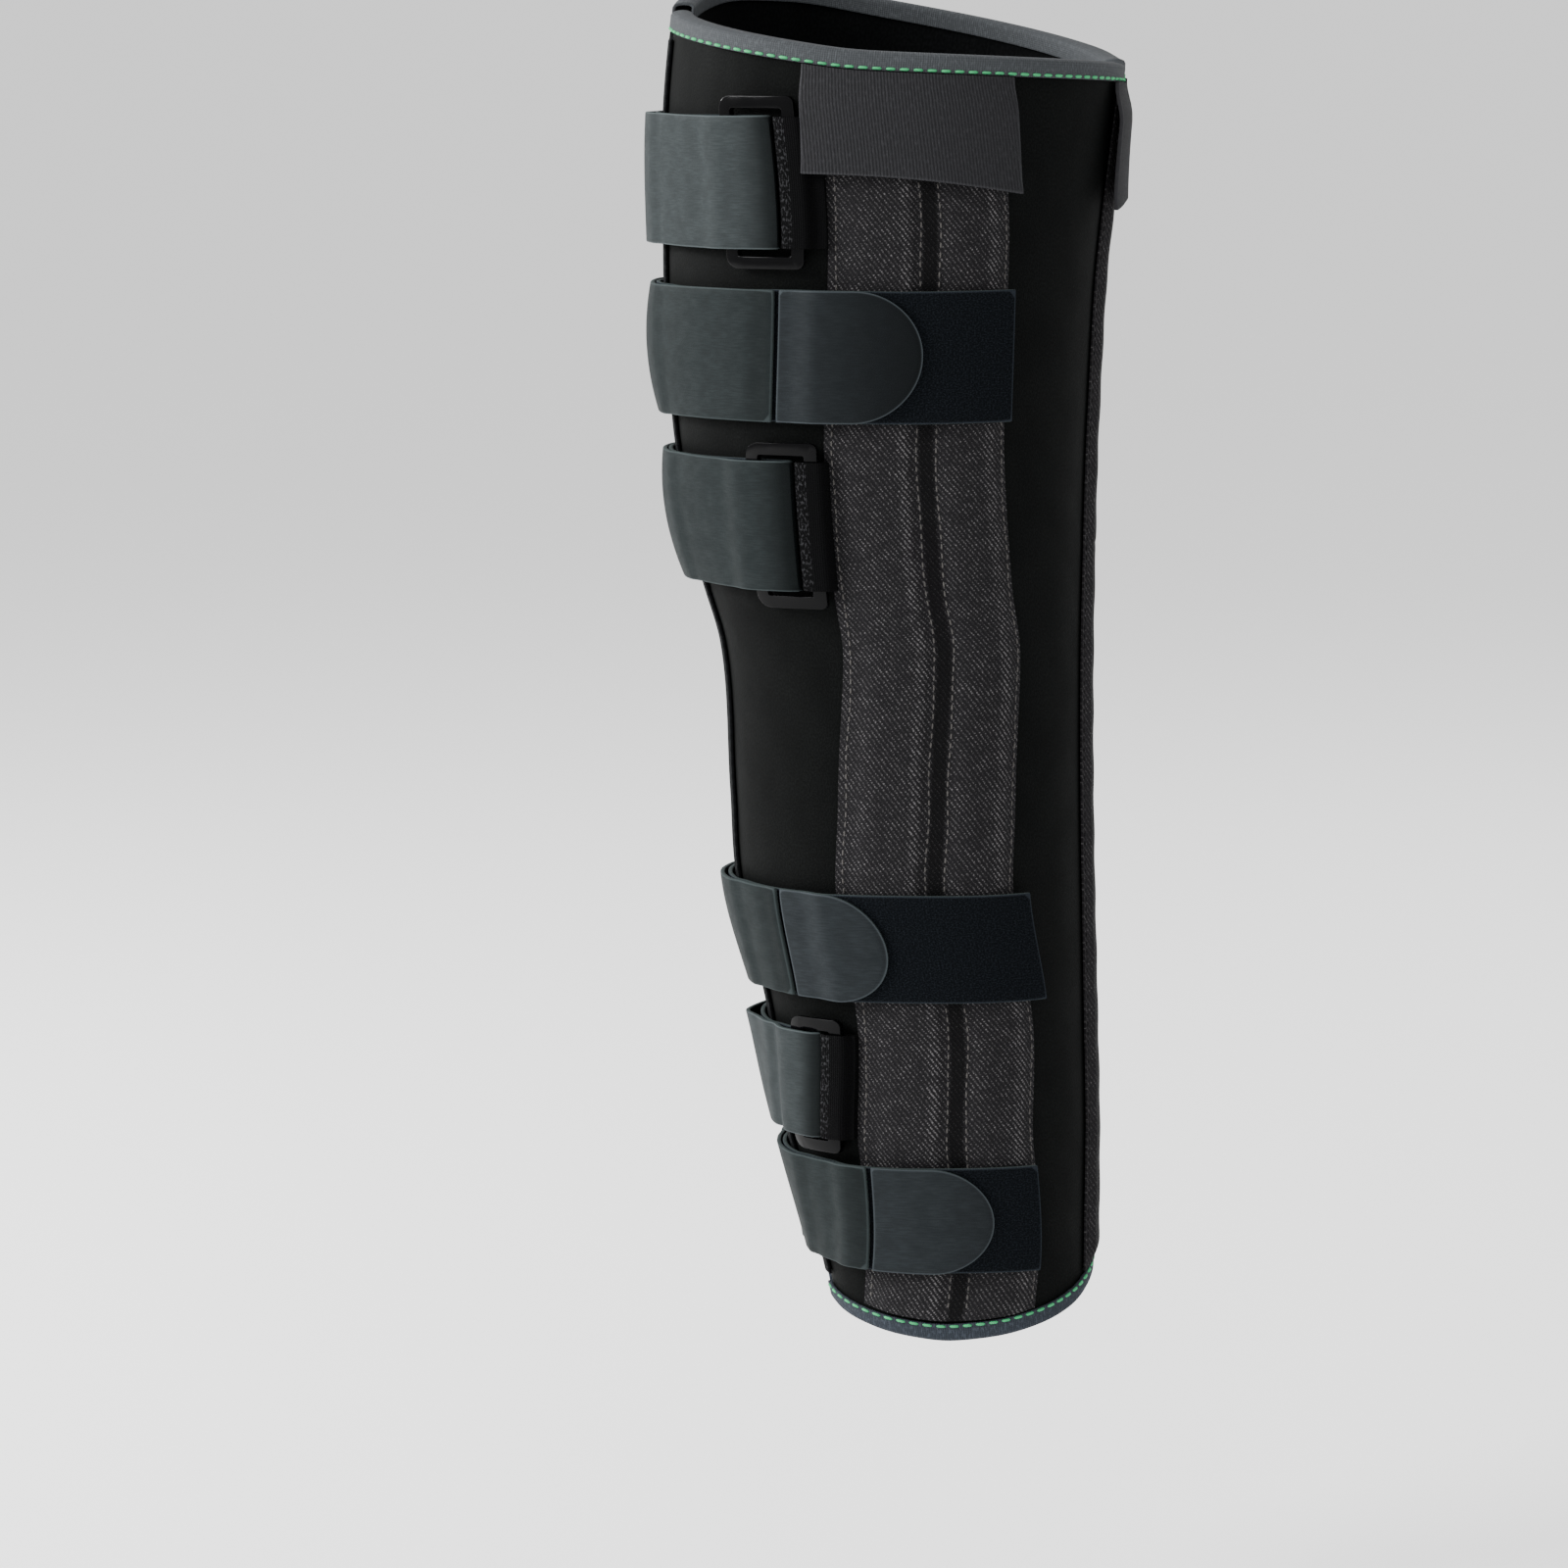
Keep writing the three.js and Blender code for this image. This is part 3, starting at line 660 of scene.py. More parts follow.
class LegForm:
    """The wrap's outer face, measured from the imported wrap.

    A section at any height is a rounded oblong given by its half width, centre and half depth.
    """

    corner_power = 2.2
    angle_steps = 720
    turn_steps = 360
    row_step = 1 * MM
    top_rise = 3.5 * MM
    same_height = 0.02 * MM
    beyond_height = 0.1 * MM
    end_reach = 45 * MM
    row_corners = 40
    outer_level = 0.93
    rim_turns = 241
    rim_window = 15
    rim_padding = 12

    def __init__(self) -> None:
        """Measures the sections and tables the distances round them."""
        corners = corners_of("wrap")
        heights, counts = np.unique(np.round(corners[:, 2], 5), return_counts=True)
        self.sections = []
        for height in heights[counts > self.row_corners]:
            near = np.abs(corners[:, 2] - height) < self.same_height
            self.sections.append((height, self.fit(corners[near])))
        for rim in Rim:
            self.add_end(corners, rim)
        self.sections.sort(key=lambda row: row[0])
        self.tabulate()
        self.read_rims(corners)

    def level(self, section: Array, points: Array) -> Array:
        """How far out points are: 1 on the outer face, less inside it."""
        width, centre, depth = section
        across = (np.abs(points[:, 0]) / width) ** self.corner_power
        return across + (np.abs(points[:, 1] - centre) / depth) ** self.corner_power

    def fit(self, points: Array) -> Array:
        """Half width, centre and half depth of the outer face at one height.

        Args:
            points: the wrap's vertices at that height, of both faces.

        Returns:
            The three sizes.
        """
        front, back = points[:, 1].min(), points[:, 1].max()
        guess = np.array([np.abs(points[:, 0]).max(), (front + back) / 2, (back - front) / 2])
        outer = points[self.level(guess, points) > self.outer_level]
        return solve(lambda values: self.level(values, outer) - 1, guess)

    def add_end(self, corners: Array, rim: Rim) -> None:
        """Adds the section beyond a rim, which the wall reaches in a straight line.

        Args:
            corners: the wrap's vertices.
            rim: the end to add.
        """
        sign = rim.value
        last_height, last = max(self.sections, key=lambda row: sign * row[0])
        beyond = corners[sign * (corners[:, 2] - last_height) > self.beyond_height]
        end_height = last_height + sign * self.end_reach
        pairs = np.round(beyond[:, 2], 5)
        levels = self.level(last, beyond)
        middle = {}
        for height in set(pairs):
            pair = levels[pairs == height]
            middle[height] = np.ptp(pair) / 2 + pair.min()
        outer = beyond[levels >= np.array([middle[height] for height in pairs])]
        share = (outer[:, 2] - last_height) / (end_height - last_height)

        def errors(end: Array) -> Array:
            """How far the outer rim lies off a straight wall to this end."""
            section = last[:, None] + np.outer(end - last, share)
            return self.level(section, outer) - 1

        self.sections.append((end_height, solve(errors, last)))

    def tabulate(self) -> None:
        """Smooths the sections in height and tables the angle at each share of the half girth."""
        known = np.array([height for height, _ in self.sections])
        sizes = np.array([section for _, section in self.sections])
        slopes = np.diff(sizes, axis=0) / np.diff(known)[:, None]
        tangents = np.vstack([slopes[:1], (slopes[1:] + slopes[:-1]) / 2, slopes[-1:]])
        self.heights = np.arange(known[0], known[-1] + self.row_step, self.row_step)
        part = np.clip(np.searchsorted(known, self.heights, side="right") - 1, 0, len(known) - 2)
        span = (known[part + 1] - known[part])[:, None]
        share = (self.heights - known[part])[:, None] / span
        self.sizes = (
            (2 * share**3 - 3 * share**2 + 1) * sizes[part]
            + (share**3 - 2 * share**2 + share) * span * tangents[part]
            + (3 * share**2 - 2 * share**3) * sizes[part + 1]
            + (share**3 - share**2) * span * tangents[part + 1]
        )
        angles = np.linspace(0, np.pi, self.angle_steps + 1)
        turns = np.linspace(0, 1, self.turn_steps + 1)
        self.angles = np.zeros((len(self.heights), len(turns)))
        self.half_girths = np.zeros(len(self.heights))
        for row, section in enumerate(self.sizes):
            x, y, _, _ = self.section_at(section[None, :], angles)
            lengths = run_along(x, y)
            self.half_girths[row] = lengths[-1]
            self.angles[row] = np.interp(turns * lengths[-1], lengths, angles)

    def section_at(self, section: Array, angle: Array) -> tuple[Array, Array, Array, Array]:
        """Points of a section and the ways out from them.

        Args:
            section: half width, centre and half depth, a row for each angle or one for all.
            angle: angles from the front.

        Returns:
            X, Y, and the way out's X and Y.
        """
        width, centre, depth = section.T
        bend = 2 / self.corner_power
        across = np.abs(np.sin(angle)) ** bend
        ahead = -np.sign(np.cos(angle)) * np.abs(np.cos(angle)) ** bend
        out_x = across ** (self.corner_power - 1) / width
        out_y = np.sign(ahead) * np.abs(ahead) ** (self.corner_power - 1) / depth
        length = np.hypot(out_x, out_y)
        return across * width, centre + ahead * depth, out_x / length, out_y / length

    def half_girth(self, height: Array) -> Array:
        """The distance from the front to the back at a height."""
        return np.interp(height, self.heights, self.half_girths)

    def place(self, around: Array, height: Array, out: Array) -> Array:
        """Lays points on the wall.

        Args:
            around: distances round from the front, more than 0 on the outer side.
            height: heights.
            out: distances out from the wall.

        Returns:
            The points in space, a row for each.
        """
        around, height, out = np.broadcast_arrays(around, height, out)
        turn = (around / self.half_girth(height) + 1) % 2 - 1
        column = np.abs(turn) * self.turn_steps
        row = np.clip((height - self.heights[0]) / self.row_step, 0, len(self.heights) - 1.001)
        column = np.clip(column, 0, self.turn_steps - 0.001)
        i, j = row.astype(int), column.astype(int)
        s, t = row - i, column - j
        angle = (
            (1 - s) * ((1 - t) * self.angles[i, j] + t * self.angles[i, j + 1])
            + s * ((1 - t) * self.angles[i + 1, j] + t * self.angles[i + 1, j + 1])
        )
        section = np.stack([np.interp(height, self.heights, size) for size in self.sizes.T], 1)
        x, y, out_x, out_y = self.section_at(section, angle)
        sign = np.where(turn < 0, -1, 1)
        return np.stack([sign * (x + out * out_x), y + out * out_y, height], 1)

    def unlay(self, points: Array) -> Array:
        """Finds where points lie on the wall: distances round, heights and distances out.

        Args:
            points: points in space, a row for each.

        Returns:
            A row of the three for each point.
        """
        turns = np.linspace(0, 1, self.turn_steps + 1)
        found = np.zeros_like(points)
        for index, (x, y, height) in enumerate(points):
            half = self.half_girth(height)
            line = self.place(turns * half, np.full_like(turns, height), np.zeros_like(turns))
            off = np.hypot(line[:, 0] - abs(x), line[:, 1] - y)
            near = int(off.argmin())
            start, end = line[max(near - 1, 0)], line[min(near + 1, self.turn_steps)]
            along = (end - start)[:2]
            length = np.hypot(*along)
            gap = np.array([abs(x), y]) - line[near, :2]
            forward = gap @ along / length
            out = (along[1] * gap[0] - along[0] * gap[1]) / length
            found[index] = (math.copysign(turns[near] * half + forward, x), height, out)
        return found

    def read_rims(self, corners: Array) -> None:
        """Tables each rim's height by its turn from the front, from -1 to 1."""
        inner = [self.sections[1][0], self.sections[-2][0]]
        self.rims = {}
        for rim, last in ((Rim.TOP, inner[1]), (Rim.BOTTOM, inner[0])):
            beyond = self.unlay(corners[rim.value * (corners[:, 2] - last) > self.beyond_height])
            beyond = beyond[beyond[:, 2] > -2 * MM]
            turns = beyond[:, 0] / self.half_girth(beyond[:, 1])
            order = np.argsort(turns)
            turns, heights = turns[order], beyond[order, 1]
            even = np.linspace(-1, 1, self.rim_turns)
            level = np.interp(even, turns, heights)
            padded = np.pad(level, self.rim_padding, mode="edge")
            weights = np.hanning(self.rim_window) / np.hanning(self.rim_window).sum()
            smooth_level = np.convolve(padded, weights, mode="same")[self.rim_padding:-self.rim_padding]
            self.rims[rim] = (even, smooth_level + (self.top_rise if rim is Rim.TOP else 0))

    def rim_height(self, rim: Rim, turn: Array) -> Array:
        """A rim's height at a turn, which may run on past the back."""
        return np.interp((np.asarray(turn) + 1) % 2 - 1, *self.rims[rim])

    def rim_over(self, rim: Rim, side: Side, middle: Callable[[Array], Array], offset: Array) -> Array:
        """A rim's height where it crosses a line that runs beside another one.

        Args:
            rim: the rim.
            side: the side that both lines are on.
            middle: gives the distance round of the other line at a height.
            offset: distances round from it.

        Returns:
            The heights.
        """
        level = RIM_LEVEL[rim]
        turn = side.value * (middle(np.full_like(offset, level)) + offset) / self.half_girth(level)
        return self.rim_height(rim, turn)


@dataclass
class Panels:
    """Where the side panels' front edges run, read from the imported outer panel."""

    leg: LegForm
    node: str = "stay_panel_lateral"
    lead_thigh: float = 3.2 * MM
    lead_knee: float = 2.2 * MM
    knee_height: float = 5 * MM
    knee_reach: float = 35 * MM
    row_corners: int = 8
    heights: Array = field(init=False)
    fronts: Array = field(init=False)
    backs: Array = field(init=False)

    def __post_init__(self) -> None:
        """Reads the panel's edges at each of its rows."""
        spots = self.leg.unlay(corners_of(self.node))
        rows, counts = np.unique(np.round(spots[:, 1], 5), return_counts=True)
        self.heights = rows[counts > self.row_corners]
        near = [spots[np.abs(spots[:, 1] - height) < 2e-5, 0] for height in self.heights]
        self.fronts = np.array([row.min() for row in near])
        self.backs = np.array([row.max() for row in near])

    def front(self, height: Array) -> Array:
        """The distance round of a side panel's front edge."""
        return self.line(self.fronts, height)

    def middle(self, height: Array) -> Array:
        """The distance round of a side panel's middle."""
        return self.line((self.fronts + self.backs) / 2, height)

    @property
    def width(self) -> float:
        """The panel's width."""
        return float(np.median(self.backs - self.fronts))

    def line(self, values: Array, height: Array) -> Array:
        """Reads a smooth line through the rows, straight on past them."""
        curve = np.polynomial.Polynomial.fit(self.heights, values, 5)
        low, high = self.heights[0], self.heights[-1]
        inside = np.clip(height, low, high)
        beyond = np.where(height > high, curve.deriv()(high), curve.deriv()(low)) * (height - inside)
        return curve(inside) + beyond - self.lead(height)

    def lead(self, height: Array) -> Array:
        """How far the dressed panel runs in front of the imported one."""
        knee = np.exp(-(((height - self.knee_height) / self.knee_reach) ** 2))
        return self.lead_thigh * ease(height, -0.2, 0.0) + self.lead_knee * knee


# Stitching

@dataclass
class Stitching:
    """A row of stitches along a line on the wall."""

    leg: LegForm
    name: str
    finish: Finish
    stitch: float = 3.0 * MM
    pitch: float = 5.0 * MM
    thread: float = 0.42 * MM
    sink: float = 0.25

    def make(self, line: Callable[[Array], Array], ends: tuple[float, float]) -> bpy.types.Object:
        """Sews the row.

        Args:
            line: gives distance round, height and distance out for each share from 0 to 1.
            ends: the shares where the row starts and stops.

        Returns:
            The row, as one mesh.
        """
        shares = np.linspace(*ends, 600)
        spots = line(shares)
        run = run_along(spots[:, 0], spots[:, 1])
        count = max(int(run[-1] / self.pitch), 1)
        bpy.ops.object.select_all(action="DESELECT")
        bpy.ops.mesh.primitive_cylinder_add(vertices=6, radius=self.thread, depth=self.stitch, calc_uvs=False,
                                            rotation=(0, math.pi / 2, 0), end_fill_type="NGON")
        row = name_new(self.name)
        bpy.ops.object.transform_apply(location=False, rotation=True, scale=False)
        self.shape_stitch(row)
        finish_with(row, "ARRAY", count=count, use_relative_offset=False, use_constant_offset=True,
                    constant_offset_displace=(self.pitch, 0, 0))
        flat = points_of(row)
        flat[:, 0] += self.pitch / 2
        move_points(row, flat)
        keep_pattern(row)
        centre = np.stack([np.interp(flat[:, 0], run, spots[:, axis]) for axis in range(3)], 1)
        slopes = [np.gradient(spots[:, axis], run) for axis in range(2)]
        ahead = np.stack([np.interp(flat[:, 0], run, slope) for slope in slopes], 1)
        ahead /= np.linalg.norm(ahead, axis=1)[:, None]
        around = centre[:, 0] - ahead[:, 1] * flat[:, 1]
        height = centre[:, 1] + ahead[:, 0] * flat[:, 1]
        move_points(row, self.leg.place(around, height, centre[:, 2] + flat[:, 2]))
        turn_out(row)
        smooth(row, 80)
        dress(row, self.finish)
        return row

    def shape_stitch(self, row: bpy.types.Object) -> None:
        """Rounds one stitch's ends and sinks them into the cloth."""
        for share in (0.3, -0.3):
            with all_selected(row):
                bpy.ops.mesh.bisect(plane_co=(self.stitch * share, 0, 0), plane_no=(1, 0, 0))
        flat = points_of(row)
        end = np.abs(flat[:, 0]) > self.stitch * 0.4
        flat[end, 1:] *= 0.55
        flat[end, 2] -= self.thread * self.sink * 2
        move_points(row, flat)


# The wrap

@dataclass
class Wrap:
    """The padded wrap: foam between two knits, open in front."""

    leg: LegForm
    panels: Panels
    straps: "list[StrapPlace]"
    columns: int = 110
    rows: int = 116
    thickness: float = 5.5 * MM
    front_gap: float = 18 * MM
    swell: float = 1.5 * MM
    pressure: float = 4.0
    frames: int = 20
    tape_leg: float = 7 * MM
    margin: float = 3 * MM
    front_reach: float = 22 * MM
    strap_margin: float = 1 * MM
    pad_margin: float = 4 * MM
    ring_margin: float = 14 * MM

    def share_to_turn(self, share: Array, half: Array) -> Array:
        """The turn of a column: share 0 and 1 are the front edges, by way of the back."""
        edge = self.front_gap / 2 / half
        return np.where(share < 0.5, edge + (1 - edge) * share * 2, -1 + (1 - edge) * (share * 2 - 1))

    def rim_at(self, rim: Rim, share: Array) -> Array:
        """A rim's height at a column."""
        return self.leg.rim_height(rim, self.share_to_turn(share, self.leg.half_girth(RIM_LEVEL[rim])))

    def build(self) -> bpy.types.Object:
        """Cuts the wrap, folds it round the leg, pads it and lets the padding swell."""
        wrap = new_grid("padded_wrap", self.columns, self.rows)
        grid = points_of(wrap) + 0.5
        share, up = grid[:, 0], grid[:, 1]
        top, bottom = (self.rim_at(rim, share) for rim in Rim)
        height = bottom + (top - bottom) * up
        half = self.leg.half_girth(height)
        around = self.share_to_turn(share, half) * half
        cut(wrap, np.where(around < 0, around + 2 * half, around), height)
        move_points(wrap, self.leg.place(around, height, np.zeros_like(height)))
        dress(wrap, KNIT, LINING)
        finish_with(wrap, "SOLIDIFY", thickness=self.thickness, offset=-1, use_even_offset=True,
                    material_offset=1, material_offset_rim=0)
        self.pin(wrap, around, height)
        self.puff(wrap)
        finish_with(wrap, "SUBSURF", levels=1, render_levels=1, boundary_smooth="PRESERVE_CORNERS")
        smooth(wrap, 60)
        return seat(wrap, "wrap", "wrap")

    def pin(self, wrap: bpy.types.Object, around: Array, height: Array) -> None:
        """Holds the padding where tape, panels or straps press on it, and on its inner face.

        Args:
            wrap: the thickened wrap; its outer vertices come first.
            around: the outer vertices' distances round.
            height: their heights.
        """
        turn = around / self.leg.half_girth(height)
        top = self.leg.rim_height(Rim.TOP, turn) - self.tape_leg
        bottom = self.leg.rim_height(Rim.BOTTOM, turn) + self.tape_leg
        hold = 1 - ease(height, bottom, bottom + self.margin)
        hold = np.maximum(hold, ease(height, top - self.margin, top))
        reach = np.abs(np.abs(around) - self.panels.middle(height))
        half_panel = self.panels.width / 2
        hold = np.maximum(hold, 1 - ease(reach, half_panel, half_panel + self.margin))
        taped = self.front_gap / 2 + self.tape_leg
        hold = np.maximum(hold, 1 - ease(np.abs(around), taped, self.front_reach))
        for strap in self.straps:
            off, half = np.abs(height - strap.middle), strap.width / 2
            near = 1 - ease(off, half - self.strap_margin, half + self.strap_margin)
            reach = around * strap.side.value
            begun = ease(reach, -strap.pad_end - self.pad_margin, -strap.pad_end)
            over = 1 - ease(reach, strap.ring_end, strap.ring_end + self.ring_margin)
            hold = np.maximum(hold, near * (begun * over))
        group = wrap.vertex_groups.new(name="held")
        outer = len(around)
        for index, weight in enumerate(hold):
            group.add([index], float(weight), "REPLACE")
        group.add(list(range(outer, len(wrap.data.vertices))), 1.0, "REPLACE")

    def puff(self, wrap: bpy.types.Object) -> None:
        """Simulates the padding's swelling and caps how far it goes."""
        before = points_of(wrap)
        take_up(wrap)
        bpy.ops.object.modifier_add(type="CLOTH")
        cloth = wrap.modifiers[-1]
        cloth.settings.vertex_group_mass = "held"
        cloth.settings.use_pressure = True
        cloth.settings.uniform_pressure_force = self.pressure
        cloth.settings.effector_weights.gravity = 0
        cloth.settings.quality = 5
        cloth.point_cache.frame_start = 1
        cloth.point_cache.frame_end = self.frames
        for moment in range(1, self.frames + 1):
            bpy.context.scene.frame_set(moment)
        bpy.ops.object.modifier_apply(modifier=cloth.name)
        bpy.context.scene.frame_set(1)
        step = points_of(wrap) - before
        length = np.linalg.norm(step, axis=1)[:, None]
        capped = self.swell * np.tanh(length / self.swell)
        move_points(wrap, before + step * capped / np.maximum(length, 1e-9))


# Edge tape

@dataclass
class EdgeTape:
    """Folded tape over an edge of the wrap, sewn through."""

    leg: LegForm
    wrap: Wrap
    finish: Finish
    leg_width: float = 7 * MM
    thickness: float = 1.2 * MM
    fit: float = 0.35 * MM
    rows: int = 22
    pucker: float = 0.10 * MM
    stitch_pitch: float = 5.0 * MM
    rim_columns: int = 300
    front_rows: int = 260

    def section(self, across: Array) -> tuple[Array, Array]:
        """The tape's middle line over the edge.

        Args:
            across: places across the flat tape, 0 and 1 at its edges.

        Returns:
            Distances beyond the wall's edge, and out from its outer face.
        """
        lip = self.fit + self.thickness / 2
        depth = self.wrap.thickness + 2 * lip
        bulge = self.fit + self.thickness * 0.9
        turn = np.linspace(0, np.pi, 24)
        beyond = np.concatenate([[-self.leg_width], bulge * np.sin(turn), [-self.leg_width]])
        out = np.concatenate([[lip], lip - depth / 2 + depth / 2 * np.cos(turn), [lip - depth]])
        run = run_along(beyond, out)
        self.flat_width = float(run[-1])
        return np.interp(across * run[-1], run, beyond), np.interp(across * run[-1], run, out)

    def puckered(self, run: Array, across: Array, out: Array) -> Array:
        """The tape's distances out, with its edges drawn in at every stitch.

        Args:
            run: lengths along the tape.
            across: places across the flat tape, 0 and 1 at its edges.
            out: distances out before that.

        Returns:
            The distances out.
        """
        wave = np.cos(run * 2 * np.pi / self.stitch_pitch)
        loose = ease(np.abs(across - 0.5), 0.3, 0.5)
        return out + self.pucker * wave * loose * np.where(across < 0.5, 1, -1)

    def finish_tape(self, tape: bpy.types.Object, node: str, length: float) -> bpy.types.Object:
        """Gives the laid tape its thickness, finish and place among the pieces."""
        finish_with(tape, "SOLIDIFY", thickness=self.thickness, offset=0, use_even_offset=True)
        round_edges(tape, 0.3 * MM, 60)
        turn_out(tape)
        smooth(tape, 50)
        dress(tape, self.finish)
        return seat(tape, "tape", node)

    def along_rim(self, rim: Rim, node: str) -> bpy.types.Object:
        """Sews tape round the top or bottom rim."""
        tape = new_grid(node.replace("edge_tape", "rim_binding"), self.rim_columns, self.rows)
        share, across = (points_of(tape)[:, :2] + 0.5).T
        beyond, out = self.section(across)
        run = share * 2 * self.leg.half_girth(RIM_LEVEL[rim])
        cut(tape, run, across * self.flat_width)
        height = self.wrap.rim_at(rim, share) + rim.value * beyond
        half = self.leg.half_girth(height)
        around = self.wrap.share_to_turn(share, half) * half
        move_points(tape, self.leg.place(around, height, self.puckered(run, across, out)))
        return self.finish_tape(tape, node, float(run.max()))

    def along_front(self, side: Side, node: str) -> bpy.types.Object:
        """Sews tape down one front edge, between the rim tapes."""
        tape = new_grid(node.replace("edge_tape", "binding"), self.rows, self.front_rows)
        across, up = (points_of(tape)[:, :2] + 0.5).T
        beyond, out = self.section(across)
        inset = self.fit + self.thickness + self.fit + self.leg_width
        turn = side.value * self.wrap.front_gap / 2 / self.leg.half_girth(RIM_LEVEL[Rim.TOP])
        low = float(self.leg.rim_height(Rim.BOTTOM, turn)) + inset
        high = float(self.leg.rim_height(Rim.TOP, turn)) - inset
        height = low + (high - low) * up
        cut(tape, height, across * self.flat_width)
        around = side.value * (self.wrap.front_gap / 2 - beyond)
        move_points(tape, self.leg.place(around, height, self.puckered(height, across, out)))
        return self.finish_tape(tape, node, high - low)

    def stitch_rim(self, rim: Rim, name: str, finish: Finish, inset: float) -> bpy.types.Object:
        """Sews the row of stitches along a rim tape's edge."""

        def line(share: Array) -> Array:
            """The stitch line on the tape's outer leg."""
            height = self.wrap.rim_at(rim, share) - rim.value * inset
            half = self.leg.half_girth(height)
            around = self.wrap.share_to_turn(share, half) * half
            around = np.where(share > 0.5, around + 2 * half, around)
            out = self.fit + self.thickness + 0.1 * MM
            return np.stack([around, height, np.full_like(share, out)], 1)

        sewing = Stitching(self.leg, name, finish, stitch=3.4 * MM, pitch=self.stitch_pitch, thread=0.55 * MM)
        row = sewing.make(line, (0.004, 0.996))
        return seat(row, "tape")


# Stay panels

@dataclass
class StayPanel:
    """A woven panel with stay pockets: raised channels between sewn grooves."""

    leg: LegForm
    node: str
    name: str
    side: Side
    finish: Finish
    middle: Callable[[Array], Array]
    profile: tuple[tuple[float, float], ...]
    seams: tuple[float, ...]
    width: float
    thickness: float = 3.2 * MM
    seat_gap: float = 0.65 * MM
    rim_gap: float = 6.4 * MM
    columns: int = 72
    rows: int = 300
    mouth: float = 20 * MM
    mouth_share: float = 0.25
    hem: float = 5 * MM
    hem_share: float = 0.4
    pressed: float = 0.22
    crease_height: float = 58 * MM
    crease_reach: float = 1.3 * MM
    crease_depth: float = 0.25 * MM
    thread: Finish = GREY_THREAD

    def ends(self, offset: Array) -> tuple[Array, Array]:
        """The panel's lowest and highest point at an offset from its middle."""
        high, low = (self.leg.rim_over(rim, self.side, self.middle, offset) - rim.value * self.rim_gap
                     for rim in Rim)
        return low, high

    def thick(self, offset: Array, height: Array, low: Array, high: Array) -> Array:
        """The panel's thickness: pockets are raised and rounded, seams and ends are pressed flat."""
        across, level = zip(*self.profile)
        share = np.interp(offset / self.width, across, level)
        ripple = 1 + 0.05 * np.sin(height * 2 * np.pi / (23 * MM)) * np.sin(offset / (7 * MM))
        top = self.mouth_share + (1 - self.mouth_share) * ease(high - height, 0.0, self.mouth)
        bottom = self.hem_share + (1 - self.hem_share) * ease(height - low, 0.0, self.hem)
        raised = np.maximum(share * ripple - self.pressed, 0) * top * bottom
        return self.thickness * (self.pressed + raised)

    def build(self) -> bpy.types.Object:
        """Weaves the panel flat, raises its pockets and lays it on the wrap."""
        panel = new_grid(self.name, self.columns, self.rows)
        grid = points_of(panel)
        offset = grid[:, 0] * self.width
        low, high = self.ends(offset)
        height = low + (high - low) * (grid[:, 1] + 0.5)
        crease = np.exp(-(((height - self.crease_height) / self.crease_reach) ** 2)) * self.crease_depth
        face = self.thick(offset, height, low, high) - crease
        cut(panel, offset, height, self.seat_gap + face)
        edge = np.minimum(self.width / 2 - np.abs(offset), np.minimum(height - low, high - height))
        keep_edge(panel, edge)
        self.close(panel)
        flat = points_of(panel)
        around = self.side.value * (self.middle(flat[:, 1]) + flat[:, 0])
        move_points(panel, self.leg.place(around, flat[:, 1], flat[:, 2]))
        turn_out(panel)
        smooth(panel, 50)
        dress(panel, self.finish)
        length = float((high - low).mean())
        return seat(panel, "panel", self.node)

    def close(self, panel: bpy.types.Object) -> None:
        """Turns the panel's edges down to the wrap and closes it underneath."""
        with all_selected(panel):
            bpy.ops.mesh.extrude_region_move()
        top = np.zeros(len(panel.data.vertices), bool)
        panel.data.vertices.foreach_get("select", top)
        flat = points_of(panel)
        flat[~top, 2] = self.seat_gap
        move_points(panel, flat)

    def sew(self) -> list[bpy.types.Object]:
        """Sews the rows of stitches down the panel's edges and grooves."""
        rows = []
        for number, offset in enumerate(self.seams, 1):
            offset_m = offset * self.width

            def line(share: Array) -> Array:
                """The seam, from the top to the bottom."""
                low, high = self.ends(np.full_like(share, offset_m))
                height = high - 2 * MM + (low - high + 4 * MM) * share
                face = self.thick(np.full_like(share, offset_m), height, low, high)
                sway = 0.25 * MM * np.sin(height / (6 * MM) + number)
                around = self.side.value * (self.middle(height) + offset_m + sway)
                return np.stack([around, height, self.seat_gap + face + 0.05 * MM], 1)

            sewing = Stitching(self.leg, f"{self.name}_seam_{number}", self.thread,
                               stitch=2.1 * MM, pitch=3.6 * MM, thread=0.33 * MM)
            rows.append(seat(sewing.make(line, (0.0, 1.0)), "panel"))
        return rows


# Flaps

